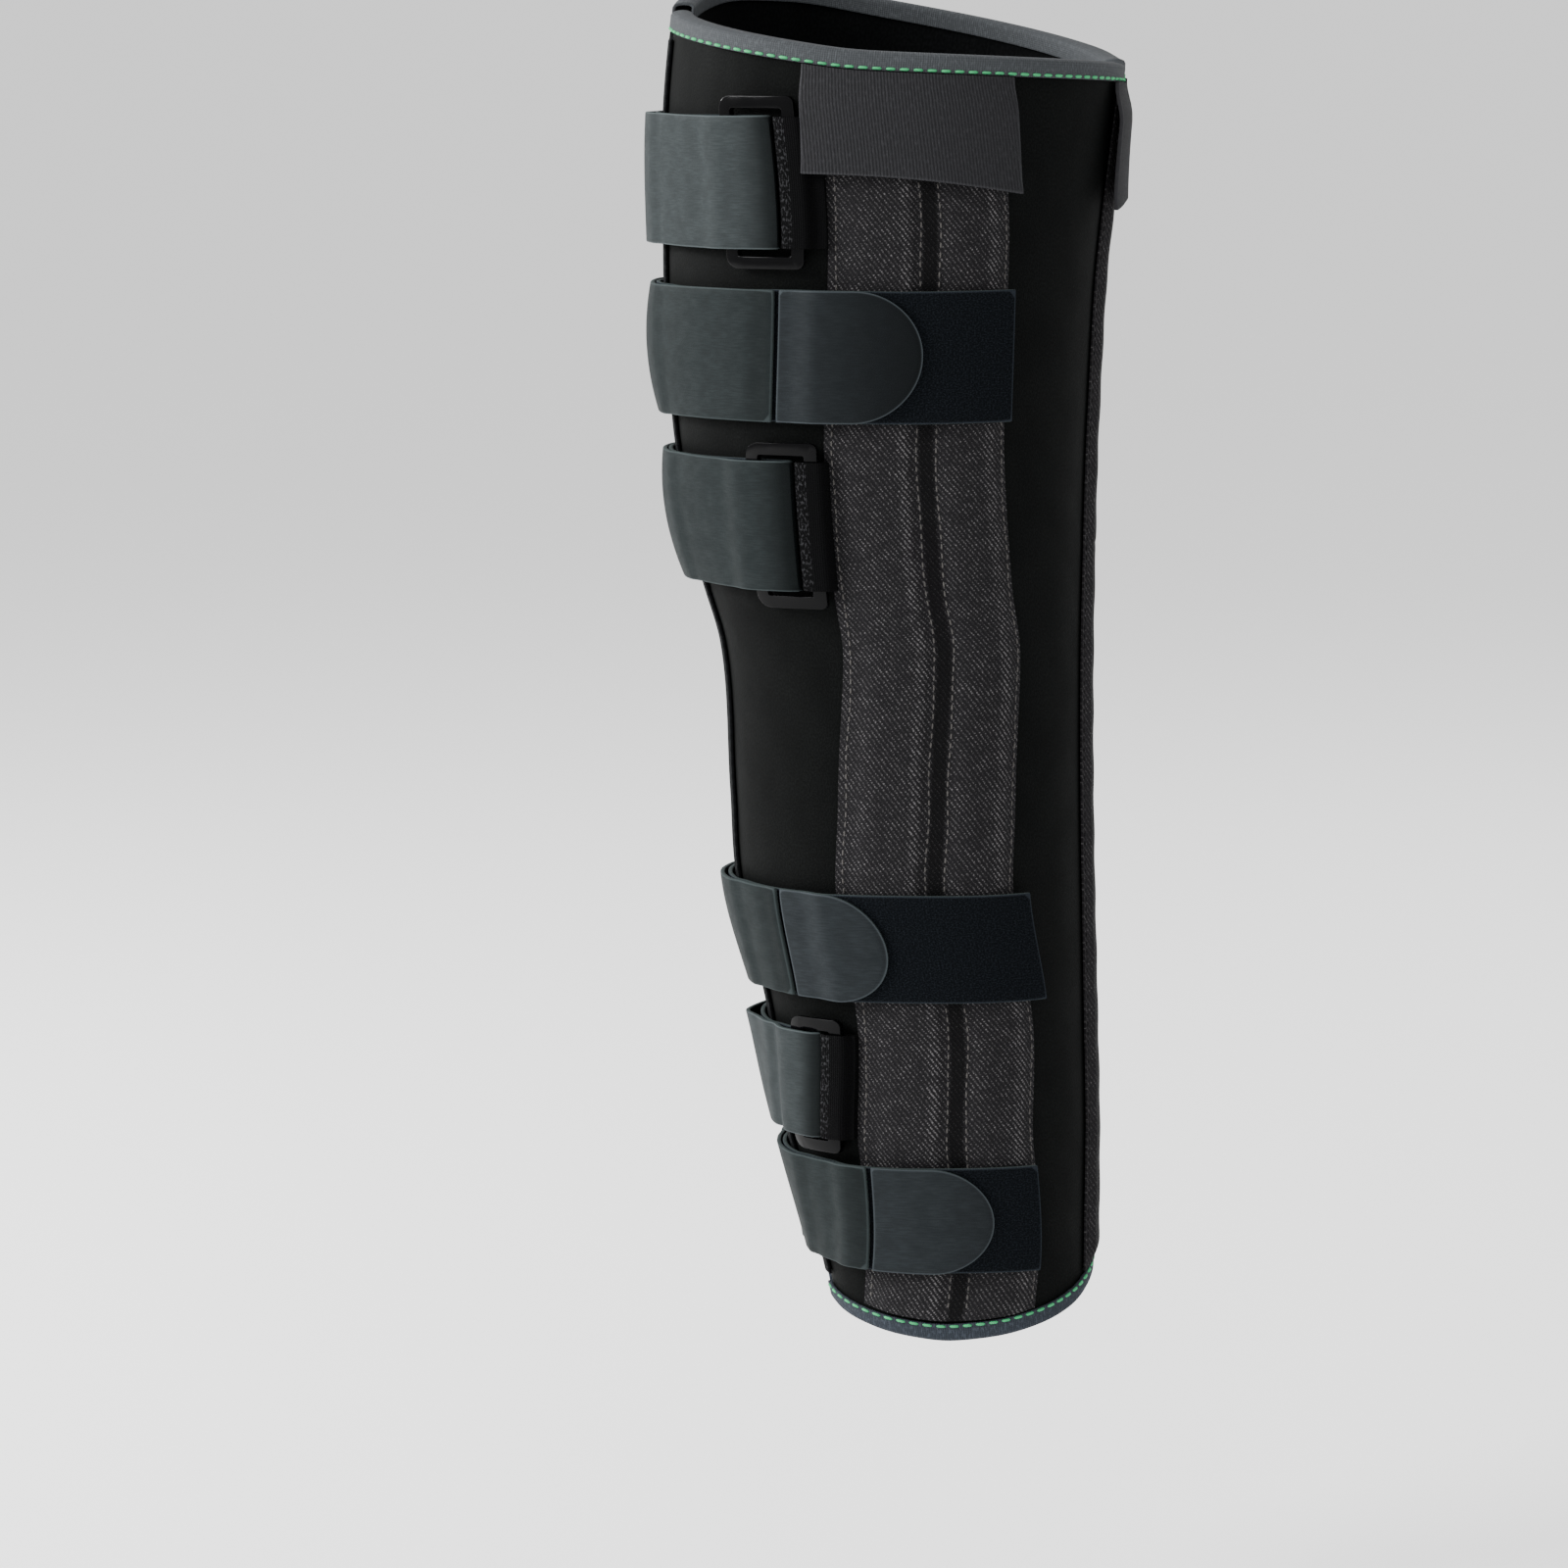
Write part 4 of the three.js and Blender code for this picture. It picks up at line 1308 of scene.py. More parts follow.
@dataclass
class TopFlap:
    """A flap of ribbed cloth that hangs from under the top tape over the pocket mouths."""

    leg: LegForm
    node: str
    name: str
    side: Side
    middle: Callable[[Array], Array]
    thickness: float = 1.5 * MM
    columns: int = 84
    rows: int = 44
    rim_gap: float = 5.4 * MM
    rise: float = 11 * MM
    sag: float = 1.8 * MM
    curl: float = 0.9 * MM
    draw_in: float = 3 * MM
    corner: float = 3 * MM
    tucked: float = 2.2 * MM
    drop: float = 33 * MM

    def build(self) -> bpy.types.Object:
        """Cuts the flap, hangs it and lifts its lower edge, most at the corners."""
        spots = self.leg.unlay(corners_of(self.node))
        spots[:, 0] *= self.side.value
        behind = spots[:, 0] < 0
        spots[behind, 0] += 2 * self.leg.half_girth(spots[behind, 1])
        spots[:, 0] -= self.middle(spots[:, 1])
        upper = spots[spots[:, 1] > np.median(spots[:, 1])]
        lower = spots[spots[:, 1] <= np.median(spots[:, 1])]
        half = (upper[:, 0].max() - upper[:, 0].min()) / 2
        centre = (upper[:, 0].max() + upper[:, 0].min()) / 2
        flare = max(upper[:, 0].min() - lower[:, 0].min(), 0)
        front_low = lower[lower[:, 0] < lower[:, 0].min() + self.corner][:, 1].min()
        back_low = lower[lower[:, 0] > lower[:, 0].max() - self.corner][:, 1].min()
        flap = new_grid(self.name, self.columns, self.rows)
        grid = points_of(flap)
        across, down = grid[:, 0], 0.5 - grid[:, 1]
        back = across + 0.5
        offset = centre + across * 2 * half - flare * down * (0.5 - across) - self.draw_in * down * back
        low = front_low + (back_low - front_low) * back + self.sag * np.sin(back * np.pi)
        high = self.leg.rim_over(Rim.TOP, self.side, self.middle, offset) - self.rim_gap
        height = high + (low - high) * down
        stand = self.stand_off(spots, across, down)
        cut(flap, offset, height, stand)
        edge = np.minimum((0.5 - np.abs(across)) * 2 * half, (1 - down) * (high - low))
        keep_edge(flap, edge)
        around = self.side.value * (self.middle(height) + offset)
        move_points(flap, self.leg.place(around, height, stand))
        if self.side is Side.MEDIAL:
            turn_over(flap)
        finish_with(flap, "SOLIDIFY", thickness=self.thickness, offset=0, use_even_offset=True)
        round_edges(flap, 0.35 * MM, 60)
        smooth(flap, 50)
        dress(flap, FLAP_CLOTH)
        size = (float(2 * half), float((high - low).mean()))
        return seat(flap, "flap", self.node)

    def stand_off(self, spots: Array, across: Array, down: Array) -> Array:
        """How far the flap's middle layer stands off the wall.

        Args:
            spots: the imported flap's vertices on the wall.
            across: places over its width, from -0.5 to 0.5.
            down: places down it, from 0 to 1.

        Returns:
            The distances out.
        """
        low, high = spots[:, 2].min(), spots[:, 2].max()
        base = low + self.thickness / 2 + 0.1 * MM
        lift = (high - low - self.thickness) * down**2 * 0.8
        tuck = (base - self.tucked) * (1 - ease(down * self.drop, 0.0, self.rise))
        ripple = 0.25 * MM * np.sin(across * 9.0 + 0.7) * down
        curl = self.curl * ease(down, 0.86, 1.0) * ease(np.abs(across), 0.2, 0.5) * 0.6
        return base + lift - tuck + ripple + curl


# Straps

@dataclass(frozen=True)
class StrapPlace:
    """Where one strap and what belongs to it lie, as distances round towards its ring."""

    number: int
    side: Side
    middle: float
    width: float
    pad_end: float
    fold: float
    seam: float
    tab_end: float
    ring_start: float
    ring_end: float
    ring_low: float
    ring_high: float
    webbing_end: float
    base_out: float
    ring_out: float
    over_ring_out: float
    return_out: float

    @classmethod
    def read(cls, leg: LegForm, panels: Panels, number: int) -> "StrapPlace":
        """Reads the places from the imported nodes.

        Args:
            leg: the wall.
            panels: the side panels' edges.
            number: the strap's number, from the top.

        Returns:
            The places.
        """
        low, high = (corner.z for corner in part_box(f"strap_{number}"))
        middle = (low + high) / 2
        side = Side.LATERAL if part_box(f"strap_ring_{number}")[1].x > 0.02 else Side.MEDIAL

        def spots(node: str) -> Array:
            """A node's vertices, with distances round as they are at the strap's middle."""
            found = leg.unlay(corners_of(f"{node}_{number}"))
            found[:, 0] *= side.value
            shift = panels.front(found[:, 1]) - panels.front(np.array([middle]))
            found[:, 0] -= shift * np.sign(found[:, 0]) * ease(np.abs(found[:, 0]), 0, 40 * MM)
            return found

        strap, tab, ring, webbing = (
            spots(node) for node in ("strap", "hook_tab", "strap_ring", "ring_webbing"))
        return cls(
            number=number,
            side=side,
            middle=middle,
            width=high - low,
            pad_end=float(-strap[:, 0].min()),
            fold=float(strap[:, 0].max()),
            seam=float(-tab[:, 0].max()),
            tab_end=float(-tab[:, 0].min()),
            ring_start=float(ring[:, 0].min()),
            ring_end=float(ring[:, 0].max()),
            ring_low=float(ring[:, 1].min()),
            ring_high=float(ring[:, 1].max()),
            webbing_end=float(webbing[:, 0].max() - panels.lead(middle)),
            base_out=1.6 * MM,
            ring_out=4.4 * MM,
            over_ring_out=7.2 * MM,
            return_out=3.8 * MM,
        )


@dataclass
class StrapRun:
    """The way of one strap: along the wrap, round its ring's bar and back over itself."""

    place: StrapPlace
    leg: LegForm
    panels: Panels
    thickness: float = 1.8 * MM
    ramp: float = 12 * MM
    front_ramp: float = 6 * MM
    tape_reach: float = 19.85 * MM
    tape_top: float = 1.55 * MM
    panel_top: float = 3.85 * MM
    lead: float = 2 * MM
    bar_gap: float = 1.6 * MM
    fine: float = 0.6 * MM
    flare_start: float = 40 * MM
    flare_full: float = 60 * MM
    flare_top: float = 0.0
    flare_bottom: float = 0.0
    crown: float = 0.0

    def __post_init__(self) -> None:
        """Draws the way as a line of distances round and out, by its length."""
        place = self.place
        radius = (place.over_ring_out - place.base_out) / 2
        turn_at = place.fold - radius - self.thickness / 2
        off_ring = place.ring_start - self.bar_gap
        base = np.arange(-place.pad_end, turn_at, self.fine)
        bend = np.linspace(-np.pi / 2, np.pi / 2, 16)[1:-1]
        level = np.arange(turn_at, off_ring, -self.fine)
        back = np.arange(off_ring, -place.seam, -self.fine)
        drop = 1 - ease(back, off_ring - self.ramp, off_ring)
        outs = place.over_ring_out + (place.return_out - place.over_ring_out) * drop + self.climb(back)
        around = np.concatenate([base, turn_at + radius * np.cos(bend), level, back])
        out = np.concatenate([
            place.base_out + self.climb(base),
            place.base_out + radius + radius * np.sin(bend),
            np.full_like(level, place.over_ring_out),
            outs,
        ])
        self.run = run_along(around, out)
        self.around, self.out = around, out
        self.length = float(self.run[-1])
        self.turn_run = float(self.run[len(base)])

    def climb(self, around: Array) -> Array:
        """How much a layer is lifted by the front tapes and by the panel under its pad."""
        front = self.tape_top * (1 - ease(np.abs(around), self.tape_reach, self.tape_reach + self.front_ramp))
        edge = float(self.panels.front(np.array([self.place.middle]))[0]) - self.lead
        return front + self.panel_top * ease(-around, edge - self.ramp, edge)

    def lay(self, around: Array, up: Array, out: Array) -> Array:
        """Lays points of the strap's run on the wall.

        Args:
            around: distances round towards the ring, at the strap's middle height.
            up: heights above the strap's middle.
            out: distances out.

        Returns:
            The points in space.
        """
        height = self.place.middle + up
        shift = self.panels.front(height) - self.panels.front(np.array([self.place.middle]))
        kept = np.sign(around) * ease(np.abs(around), 0, self.place.ring_start)
        return self.leg.place(self.place.side.value * (around + shift * kept), height, out)

    def follow(self, run: Array, up: Array, lift: Array) -> Array:
        """Lays points given by their length along the strap.

        Args:
            run: lengths from the pad's end.
            up: heights above the strap's middle.
            lift: distances from the strap's middle layer, to the plush side.

        Returns:
            The points in space.
        """
        around = np.interp(run, self.run, self.around)
        out = np.interp(run, self.run, self.out)
        ahead = np.gradient(self.around, self.run), np.gradient(self.out, self.run)
        kernel = np.ones(5) / 5
        ahead = [np.convolve(np.pad(part, 2, mode="edge"), kernel, mode="valid") for part in ahead]
        dx, dy = (np.interp(run, self.run, part) for part in ahead)
        length = np.hypot(dx, dy)
        dx, dy = dx / length, dy / length
        outer = ease(run, self.turn_run + self.flare_start, self.turn_run + self.flare_full)
        near_front = 1 - ease(np.abs(around), 0, self.place.ring_start - self.ramp)
        share = up / self.place.width + 0.5
        edges = self.flare_bottom * (1 - share) + self.flare_top * share
        flare = (edges + self.crown * 4 * share * (1 - share)) * near_front * outer
        return self.lay(around - dy * lift, up, out + dx * lift + flare)


@dataclass
class Strap:
    """One webbing strap: plush on one face, laminate on the other, with cut edges."""

    way: StrapRun
    face: Finish = LAMINATE
    edge_round: float = 0.4 * MM
    step: float = 2.4 * MM
    rows: int = 16
    fold_shade_reach: float = 6 * MM
    shin_shade_share: float = 0.7

    def build(self) -> bpy.types.Object:
        """Cuts the strap flat, rounds its edges, presses its sewn end and threads it."""
        place = self.way.place
        columns = int(self.way.length / self.step)
        strap = new_grid(f"webbing_strap_{place.number}", columns, self.rows)
        grid = points_of(strap)
        run = (grid[:, 0] + 0.5) * self.way.length
        up = grid[:, 1] * place.width
        waver = 0.18 * MM * np.sin(run / (13 * MM) + place.number) * np.abs(grid[:, 1]) * 2
        cut(strap, run, up + waver)
        keep_edge(strap, np.minimum(place.width / 2 - np.abs(up), np.minimum(run, self.way.length - run)))
        # Painted shade: full up to just past the turn round the ring's bar, then fading along the returning
        # layer, over a shorter reach on the straps below the knee; lighter painted shade before the sewn end.
        shaded = place.width * 0.28 * (self.shin_shade_share if place.number > 3 else 1)
        fold = 1 - ease(run - self.way.turn_run, self.fold_shade_reach, self.fold_shade_reach + shaded)
        sewn = 1 - ease(self.way.length - run, 2 * MM, 13 * MM)
        keep_values(strap, SHADE, np.maximum(fold, sewn * 0.6 * (self.way.length - run > 1.8 * MM)))
        dress(strap, PLUSH, self.face, CUT_EDGE)
        finish_with(strap, "SOLIDIFY", thickness=self.way.thickness, offset=0, material_offset=1,
                    material_offset_rim=2)
        round_edges(strap, self.edge_round)
        flat = points_of(strap)
        flat[:, 2] += self.pressed(flat)
        move_points(strap, self.way.follow(flat[:, 0], flat[:, 1], flat[:, 2]))
        if place.side is Side.MEDIAL:
            turn_over(strap)
        smooth(strap, 50)
        return seat(strap, "strap", f"strap_{place.number}")

    def pressed(self, flat: Array) -> Array:
        """The relief of the sewn end: a shallow dip and a raised ridge on the outer face."""
        to_end = self.way.length - flat[:, 0]
        outer = flat[:, 2] < 0
        dip = np.exp(-(((to_end - 5.5 * MM) / (2.2 * MM)) ** 2)) * 0.45 * MM
        ridge = np.exp(-(((to_end - 1.6 * MM) / (1.1 * MM)) ** 2)) * 0.45 * MM
        along = np.sin(flat[:, 0] / (9 * MM) + 2 * self.way.place.number)
        wave = 0.07 * MM * along * np.cos(flat[:, 1] / (11 * MM))
        return np.where(outer, dip - ridge, 0) + wave


@dataclass
class HookTab:
    """The round-ended tab sewn on a strap's end."""

    way: StrapRun
    thickness: float = 1.8 * MM
    seam_gap: float = 2.0 * MM
    trim: float = 0.0
    lift: float = 0.2 * MM
    border: float = 1.3 * MM
    columns: int = 44
    rows: int = 26

    def build(self) -> bpy.types.Object:
        """Cuts the tab with its round end, presses its border and lays it on the pad."""
        place = self.way.place
        radius = place.width / 2
        start, end = place.seam + self.seam_gap, place.tab_end - self.trim
        tab = new_grid(f"tab_{place.number}", self.columns, self.rows)
        grid = points_of(tab)
        share = grid[:, 0] + 0.5
        straight = (end - radius - start) / (end - start + radius * (np.pi / 2 - 1))
        beyond = np.clip((share - straight) / (1 - straight), 0, 1) * np.pi / 2
        reach = np.where(share < straight, start + share / straight * (end - radius - start),
                         end - radius + radius * np.sin(beyond))
        half = np.where(share < straight, radius, np.maximum(radius * np.cos(beyond), 0.01 * MM))
        up = grid[:, 1] * 2 * half
        cut(tab, reach, up)
        edge = np.minimum(self.to_edge(reach, up, end, radius), reach - start)
        keep_edge(tab, np.maximum(edge, 0))
        with all_selected(tab):
            bpy.ops.mesh.remove_doubles(threshold=0.05 * MM)
        dress(tab, TAB_FACE, PLUSH, CUT_EDGE)
        finish_with(tab, "SOLIDIFY", thickness=self.thickness, offset=1, material_offset=1,
                    material_offset_rim=2)
        round_edges(tab, 0.35 * MM)
        flat = points_of(tab)
        inner = place.return_out - self.way.thickness / 2 + self.lift
        out = inner + self.way.climb(-flat[:, 0]) + flat[:, 2] + self.relief(flat, start, end, radius)
        move_points(tab, self.way.lay(-flat[:, 0], flat[:, 1], out))
        if place.side is Side.LATERAL:
            turn_over(tab)
        smooth(tab, 50)
        end - start
        return seat(tab, "tab", f"hook_tab_{place.number}")

    def to_edge(self, reach: Array, up: Array, end: float, radius: float) -> Array:
        """Distances to the tab's long edges and its round end."""
        past = np.maximum(reach - (end - radius), 0)
        return np.where(past > 0, radius - np.hypot(past, up), radius - np.abs(up))

    def relief(self, flat: Array, start: float, end: float, radius: float) -> Array:
        """The pressed border of the outer face, and a slight waviness."""
        edge = self.to_edge(flat[:, 0], flat[:, 1], end, radius)
        outer = flat[:, 2] > self.thickness * 0.5
        pressed = 0.28 * MM * (1 - ease(edge, self.border * 0.6, self.border * 1.4))
        wave = 0.12 * MM * np.sin((flat[:, 0] - start) / (8 * MM)) * np.cos(flat[:, 1] / (14 * MM))
        return np.where(outer, -pressed, 0) + wave


# Rings and their webbing

@dataclass
class StrapRing:
    """A moulded ring: a rounded oblong frame with a softly rounded bar."""

    way: StrapRun
    bar: float = 4.6 * MM
    thickness: float = 3.0 * MM
    near_corner: float = 5.2 * MM
    far_corner: float = 2.6 * MM
    inner_near_corner: float = 1.6 * MM
    inner_far_corner: float = 1.0 * MM

    def build(self) -> bpy.types.Object:
        """Models the ring flat: a block, opened through, with its corners and edges rounded."""
        place = self.way.place
        length, height = place.ring_end - place.ring_start, place.ring_high - place.ring_low
        bpy.ops.object.select_all(action="DESELECT")
        bpy.ops.mesh.primitive_cube_add(size=1, calc_uvs=False)
        ring = name_new(f"moulded_ring_{place.number}")
        move_points(ring, points_of(ring) * (length, height, self.thickness))
        self.open_through(ring, length, height)
        self.round_corners(ring, length, height)
        round_edges(ring, 1.05 * MM, segments=4)
        keep_pattern(ring)
        flat = points_of(ring)
        middle = (place.ring_start + place.ring_end) / 2
        rise = (place.ring_low + place.ring_high) / 2 - place.middle
        move_points(ring, self.way.lay(flat[:, 0] + middle, flat[:, 1] + rise, flat[:, 2] + place.ring_out))
        turn_out(ring)
        smooth(ring, 60)
        dress(ring, PLASTIC)
        return seat(ring, "ring", f"strap_ring_{place.number}")

    def open_through(self, ring: bpy.types.Object, length: float, height: float) -> None:
        """Insets both broad faces by the bar's width and bridges the two openings."""
        take_up(ring)
        for polygon in ring.data.polygons:
            polygon.select = abs(polygon.normal.z) > 0.9
        bpy.context.tool_settings.mesh_select_mode = (False, False, True)
        bpy.ops.object.mode_set(mode="EDIT")
        bpy.ops.mesh.inset(thickness=self.bar, use_individual=True)
        bpy.ops.mesh.bridge_edge_loops()
        bpy.ops.mesh.select_all(action="SELECT")
        cuts = [((share * length, 0, 0), (1, 0, 0)) for share in (-0.3, -0.15, 0.0, 0.15, 0.3)]
        cuts += [((0, share * height, 0), (0, 1, 0)) for share in (-0.3, -0.1, 0.1, 0.3)]
        for point, way in cuts:
            bpy.ops.mesh.bisect(plane_co=point, plane_no=way)
            bpy.ops.mesh.select_all(action="SELECT")
        bpy.ops.object.mode_set(mode="OBJECT")

    def round_corners(self, ring: bpy.types.Object, length: float, height: float) -> None:
        """Rounds the upright corner edges, outside and in: wider at the strap's end."""
        places = [
            (length / 2, height / 2, self.far_corner, self.near_corner),
            (length / 2 - self.bar, height / 2 - self.bar, self.inner_far_corner, self.inner_near_corner),
        ]
        for x, y, far, near in places:
            for end, radius in ((1, far), (-1, near)):
                take_up(ring)
                bpy.context.tool_settings.mesh_select_mode = (False, True, False)
                bpy.ops.object.mode_set(mode="EDIT")
                bpy.ops.mesh.select_all(action="DESELECT")
                bpy.ops.object.mode_set(mode="OBJECT")
                points = points_of(ring)
                for edge in ring.data.edges:
                    a, b = (points[index] for index in edge.vertices)
                    upright = np.hypot(*(a - b)[:2]) < 1e-6
                    edge.select = bool(upright and abs(a[0] - end * x) < 1e-5 and abs(abs(a[1]) - y) < 1e-5)
                bpy.ops.object.mode_set(mode="EDIT")
                bpy.ops.mesh.bevel(offset=radius, segments=6, affect="EDGES")
                bpy.ops.object.mode_set(mode="OBJECT")


@dataclass
class RingWebbing:
    """Short coarse webbing that comes from the panel's edge, goes round a ring's bar and returns."""

    way: StrapRun
    bar: float = 4.6 * MM
    thickness: float = 1.4 * MM
    seat_gap: float = 0.8 * MM
    gap: float = 0.4 * MM
    bar_top: float = 1.5 * MM
    past_bar: float = 0.6 * MM
    descent: float = 2.6 * MM
    width_share: float = 0.985
    base_points: int = 12
    row_length: float = 1.0 * MM
    rows: int = 10

    def build(self) -> bpy.types.Object:
        """Cuts the webbing flat and folds it round the bar."""
        place = self.way.place
        inner = self.seat_gap + self.thickness / 2
        outer = place.ring_out + self.bar_top + self.gap + self.thickness / 2
        radius = (outer - inner) / 2
        bend = place.ring_end - self.bar - self.gap
        angles = np.linspace(-np.pi / 2, np.pi / 2, 18)
        end = place.webbing_end
        down = np.linspace(0, 1, 8)
        around = np.concatenate([
            np.linspace(end, bend, self.base_points, endpoint=False), bend - radius * np.cos(angles),
            [place.ring_end + self.past_bar],
            place.ring_end + self.past_bar + self.descent * down[1:], [end],
        ])
        low = inner + self.thickness + self.gap
        out = np.concatenate([
            np.full(self.base_points, inner), inner + radius + radius * np.sin(angles),
            [outer], outer + (low - outer) * ease(down[1:], 0, 1), [low],
        ])
        run = run_along(around, out)
        length = float(run[-1])
        band = new_grid(f"ring_loop_{place.number}", int(length / self.row_length), self.rows)
        grid = points_of(band)
        width = place.width * self.width_share
        flat = np.stack([(grid[:, 0] + 0.5) * length, grid[:, 1] * width, np.zeros(len(grid))], 1)
        bend_run = float(run[self.base_points])
        move_points(band, flat - (bend_run, 0, 0))
        keep_pattern(band)
        move_points(band, flat)
        keep_edge(band, width / 2 - np.abs(flat[:, 1]))
        finish_with(band, "SOLIDIFY", thickness=self.thickness, offset=0)
        round_edges(band, 0.3 * MM)
        flat = points_of(band)
        dx, dy = (np.interp(flat[:, 0], run, np.gradient(part, run)) for part in (around, out))
        size = np.hypot(dx, dy)
        around_at = np.interp(flat[:, 0], run, around) - dy / size * flat[:, 2]
        out_at = np.interp(flat[:, 0], run, out) + dx / size * flat[:, 2]
        move_points(band, self.way.lay(around_at, flat[:, 1], out_at))
        turn_out(band)
        smooth(band, 50)
        dress(band, WEBBING)
        return seat(band, "webbing", f"ring_webbing_{place.number}")


# The room

@dataclass(frozen=True)
class Lamp:
    """A soft square lamp that points at the brace."""

    name: str
    place: tuple[float, float, float]
    size: float
    power: float
    aim: tuple[float, float, float] = (0.0, 0.0, 0.0)

    def hang(self) -> bpy.types.Object:
        """Hangs the lamp."""
        data = bpy.data.lights.new(self.name, "AREA")
        data.shape = "SQUARE"
        data.size = self.size
        data.energy = self.power
        lamp = bpy.data.objects.new(self.name, data)
        bpy.context.scene.collection.objects.link(lamp)
        lamp.location = self.place
        point_at(lamp, self.aim)
        return lamp


def point_at(thing: bpy.types.Object, aim: tuple[float, float, float]) -> None:
    """Turns a lamp or camera towards a point."""
    way = np.array(aim) - np.array(thing.location)
    flat = math.hypot(way[0], way[1])
    thing.rotation_euler = (math.atan2(flat, -way[2]), 0, math.atan2(-way[0], way[1]))


@dataclass
class Studio:
    """A pale floor and soft lamps, with the camera where the picture was taken from."""

    aim: tuple[float, float, float] = (0.0, -0.046, -0.035)
    distance: float = 2.3
    elevation: float = 7.5
    lens: float = 138.6
    floor_height: float = -0.36
    floor_size: float = 1600
    surroundings: float = 1.25
    far: float = 2000
    lamps: tuple[Lamp, ...] = (
        Lamp("key", (1.1, -2.4, 1.3), 1.2, 120),
        Lamp("fill", (2.8, 0.8, 1.2), 1.8, 16),
        Lamp("front", (-0.2, -2.3, 1.35), 1.2, 48),
        Lamp("glint", (-1.0, -2.2, 1.0), 0.4, 60),
        Lamp("back", (-1.8, 1.4, 1.6), 1.6, 30),
    )

    def build(self) -> None:
        """Makes the floor, the lamps, the pale surroundings and the camera."""
        bpy.ops.object.select_all(action="DESELECT")
        bpy.ops.mesh.primitive_plane_add(size=self.floor_size, location=(0, 0, self.floor_height))
        floor = name_new("floor")
        graph = Graph("pale_floor")
        floor.data.materials.append(graph.surface(Base_Color=(0.9, 0.9, 0.9, 1.0), Roughness=0.9))
        for lamp in self.lamps:
            lamp.hang()
        world = bpy.data.worlds.new("pale_room")
        bpy.context.scene.world = world
        world.use_nodes = True
        inputs = world.node_tree.nodes["Background"].inputs
        inputs["Color"].default_value = (1.0, 1.0, 1.0, 1.0)
        inputs["Strength"].default_value = self.surroundings
        self.place_camera()

    def place_camera(self) -> None:
        """Puts the camera at the photograph's viewing angle."""
        data = bpy.data.cameras.new("camera")
        data.lens = self.lens
        data.sensor_width = 36
        data.clip_end = self.far
        camera = bpy.data.objects.new("camera", data)
        bpy.context.scene.collection.objects.link(camera)
        rise = math.radians(self.elevation)
        camera.location = (
            self.aim[0] + self.distance * math.cos(rise),
            self.aim[1],
            self.aim[2] + self.distance * math.sin(rise),
        )
        point_at(camera, self.aim)
        bpy.context.scene.camera = camera


# The whole brace

# Shares of a panel's width from its middle, and of its full thickness there
SIDE_PROFILE = (
    (-0.5, 0.22), (-0.44, 0.3), (-0.4, 0.45), (-0.34, 0.9), (-0.29, 1.0), (-0.12, 1.0), (-0.06, 0.9),
    (-0.02, 0.42), (0.02, 0.3), (0.09, 0.3), (0.12, 0.42), (0.16, 0.85), (0.21, 1.0), (0.36, 1.0),
    (0.42, 0.85), (0.47, 0.4), (0.5, 0.22),
)
BACK_PROFILE = (
    (-0.5, 0.22), (-0.45, 0.4), (-0.37, 0.95), (-0.3, 1.0), (-0.14, 1.0), (-0.06, 0.8), (-0.02, 0.3),
    (0.02, 0.3), (0.06, 0.8), (0.14, 1.0), (0.3, 1.0), (0.37, 0.95), (0.45, 0.4), (0.5, 0.22),
)
# Top flare, bottom flare and crown of each strap's outer layer in front, in millimetres
FLARES = (
    (1.6, 1.3, 0.3), (0.0, 0.0, 2.6), (0.0, 1.5, 2.6), (0.9, 0.0, 0.8), (4.0, 0.0, 0.0), (0.5, 0.5, 0.6),
)


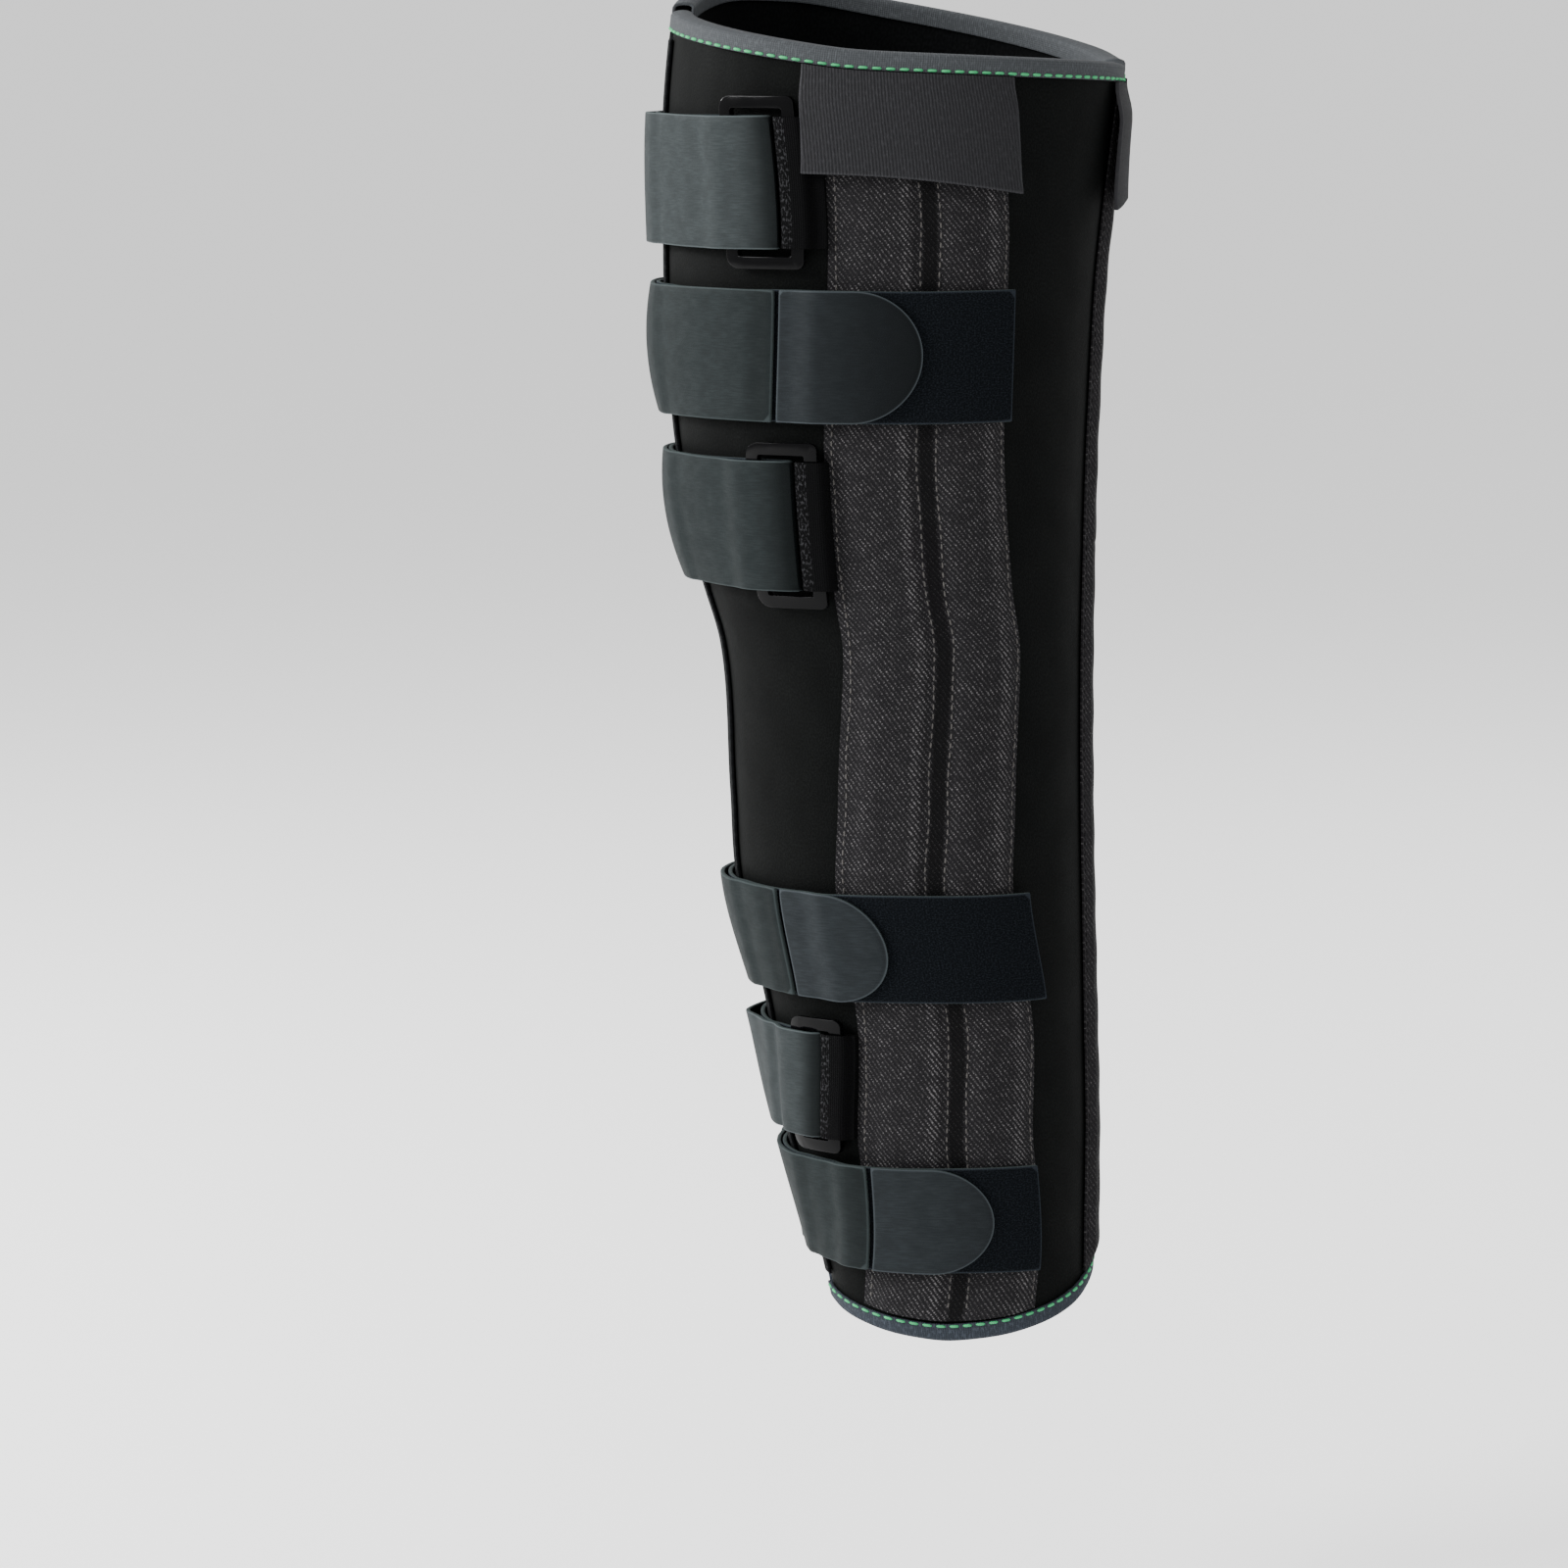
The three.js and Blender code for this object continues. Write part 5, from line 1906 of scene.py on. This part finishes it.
def build_panels(leg: LegForm, panels: Panels) -> None:
    """Makes the three stay panels with their seams, and the flaps over them."""
    charcoal, fleck = (0.0070, 0.0066, 0.0074), (0.098, 0.094, 0.096)
    dark_fleck = tinted(fleck, 0.5)
    twill = FleckedTwill("side_twill", charcoal, 0.85, fleck=fleck, ridge_highlight_lines=(-0.005, 0.0265),
                         grooves=(0.0035,))
    back_twill = FleckedTwill("back_twill", charcoal, 0.85, fleck=dark_fleck, grooves=(0.0,))
    back_width = 43 * MM
    for side in Side:
        label = side.name.lower()
        panel = StayPanel(leg, f"stay_panel_{label}", f"pocket_panel_{label}", side, twill,
                          panels.middle, SIDE_PROFILE, (-0.455, 0.0, 0.105, 0.475), panels.width)
        panel.build()
        panel.sew()
        TopFlap(leg, f"top_flap_{label}", f"pocket_flap_{label}", side, panels.middle).build()
        LOG.info("made the %s panel, its seams and its flap", label)
    back = StayPanel(leg, "stay_panel_back", "pocket_panel_back", Side.LATERAL, back_twill,
                     leg.half_girth, BACK_PROFILE, (-0.46, 0.0, 0.46), back_width, thread=DARK_THREAD)
    back.build()
    back.sew()
    TopFlap(leg, "top_flap_back", "pocket_flap_back", Side.LATERAL, leg.half_girth).build()
    LOG.info("made the back panel, its seams and its flap")


def main() -> None:
    """Builds the brace piece by piece, and the studio round it."""
    logging.basicConfig(level=logging.INFO, format="%(message)s")
    Studio().build()
    leg = LegForm()
    panels = Panels(leg)
    places = [StrapPlace.read(leg, panels, number) for number in range(1, 7)]
    wrap = Wrap(leg, panels, places)
    wrap.build()
    LOG.info("made the padded wrap")
    for rim, finish in ((Rim.TOP, RIM_TAPE), (Rim.BOTTOM, HEM_TAPE)):
        label = rim.name.lower()
        tape = EdgeTape(leg, wrap, finish, leg_width=5.2 * MM)
        tape.along_rim(rim, f"{label}_edge_tape")
        tape.stitch_rim(rim, f"{label}_rim_stitches", GREEN_THREAD, 4.3 * MM)
    front_tape = EdgeTape(leg, wrap, FRONT_TAPE)
    for side in Side:
        front_tape.along_front(side, f"front_edge_tape_{side.name.lower()}")
    LOG.info("made the edge tapes and their stitches")
    build_panels(leg, panels)
    for place, (top, bottom, crown) in zip(places, FLARES):
        way = StrapRun(place, leg, panels, flare_top=top * MM, flare_bottom=bottom * MM, crown=crown * MM)
        # Straps 1 and 5 take the lighter copy of the laminate as painted light.
        Strap(way, PAINTED_LIGHT_LAMINATE if place.number in (1, 5) else LAMINATE).build()
        HookTab(way, trim=5 * MM if place.number == 4 else 0).build()
        StrapRing(way).build()
        RingWebbing(way).build()
        LOG.info("made strap %d with its tab, ring and webbing", place.number)


if __name__ == "__main__":
    main()
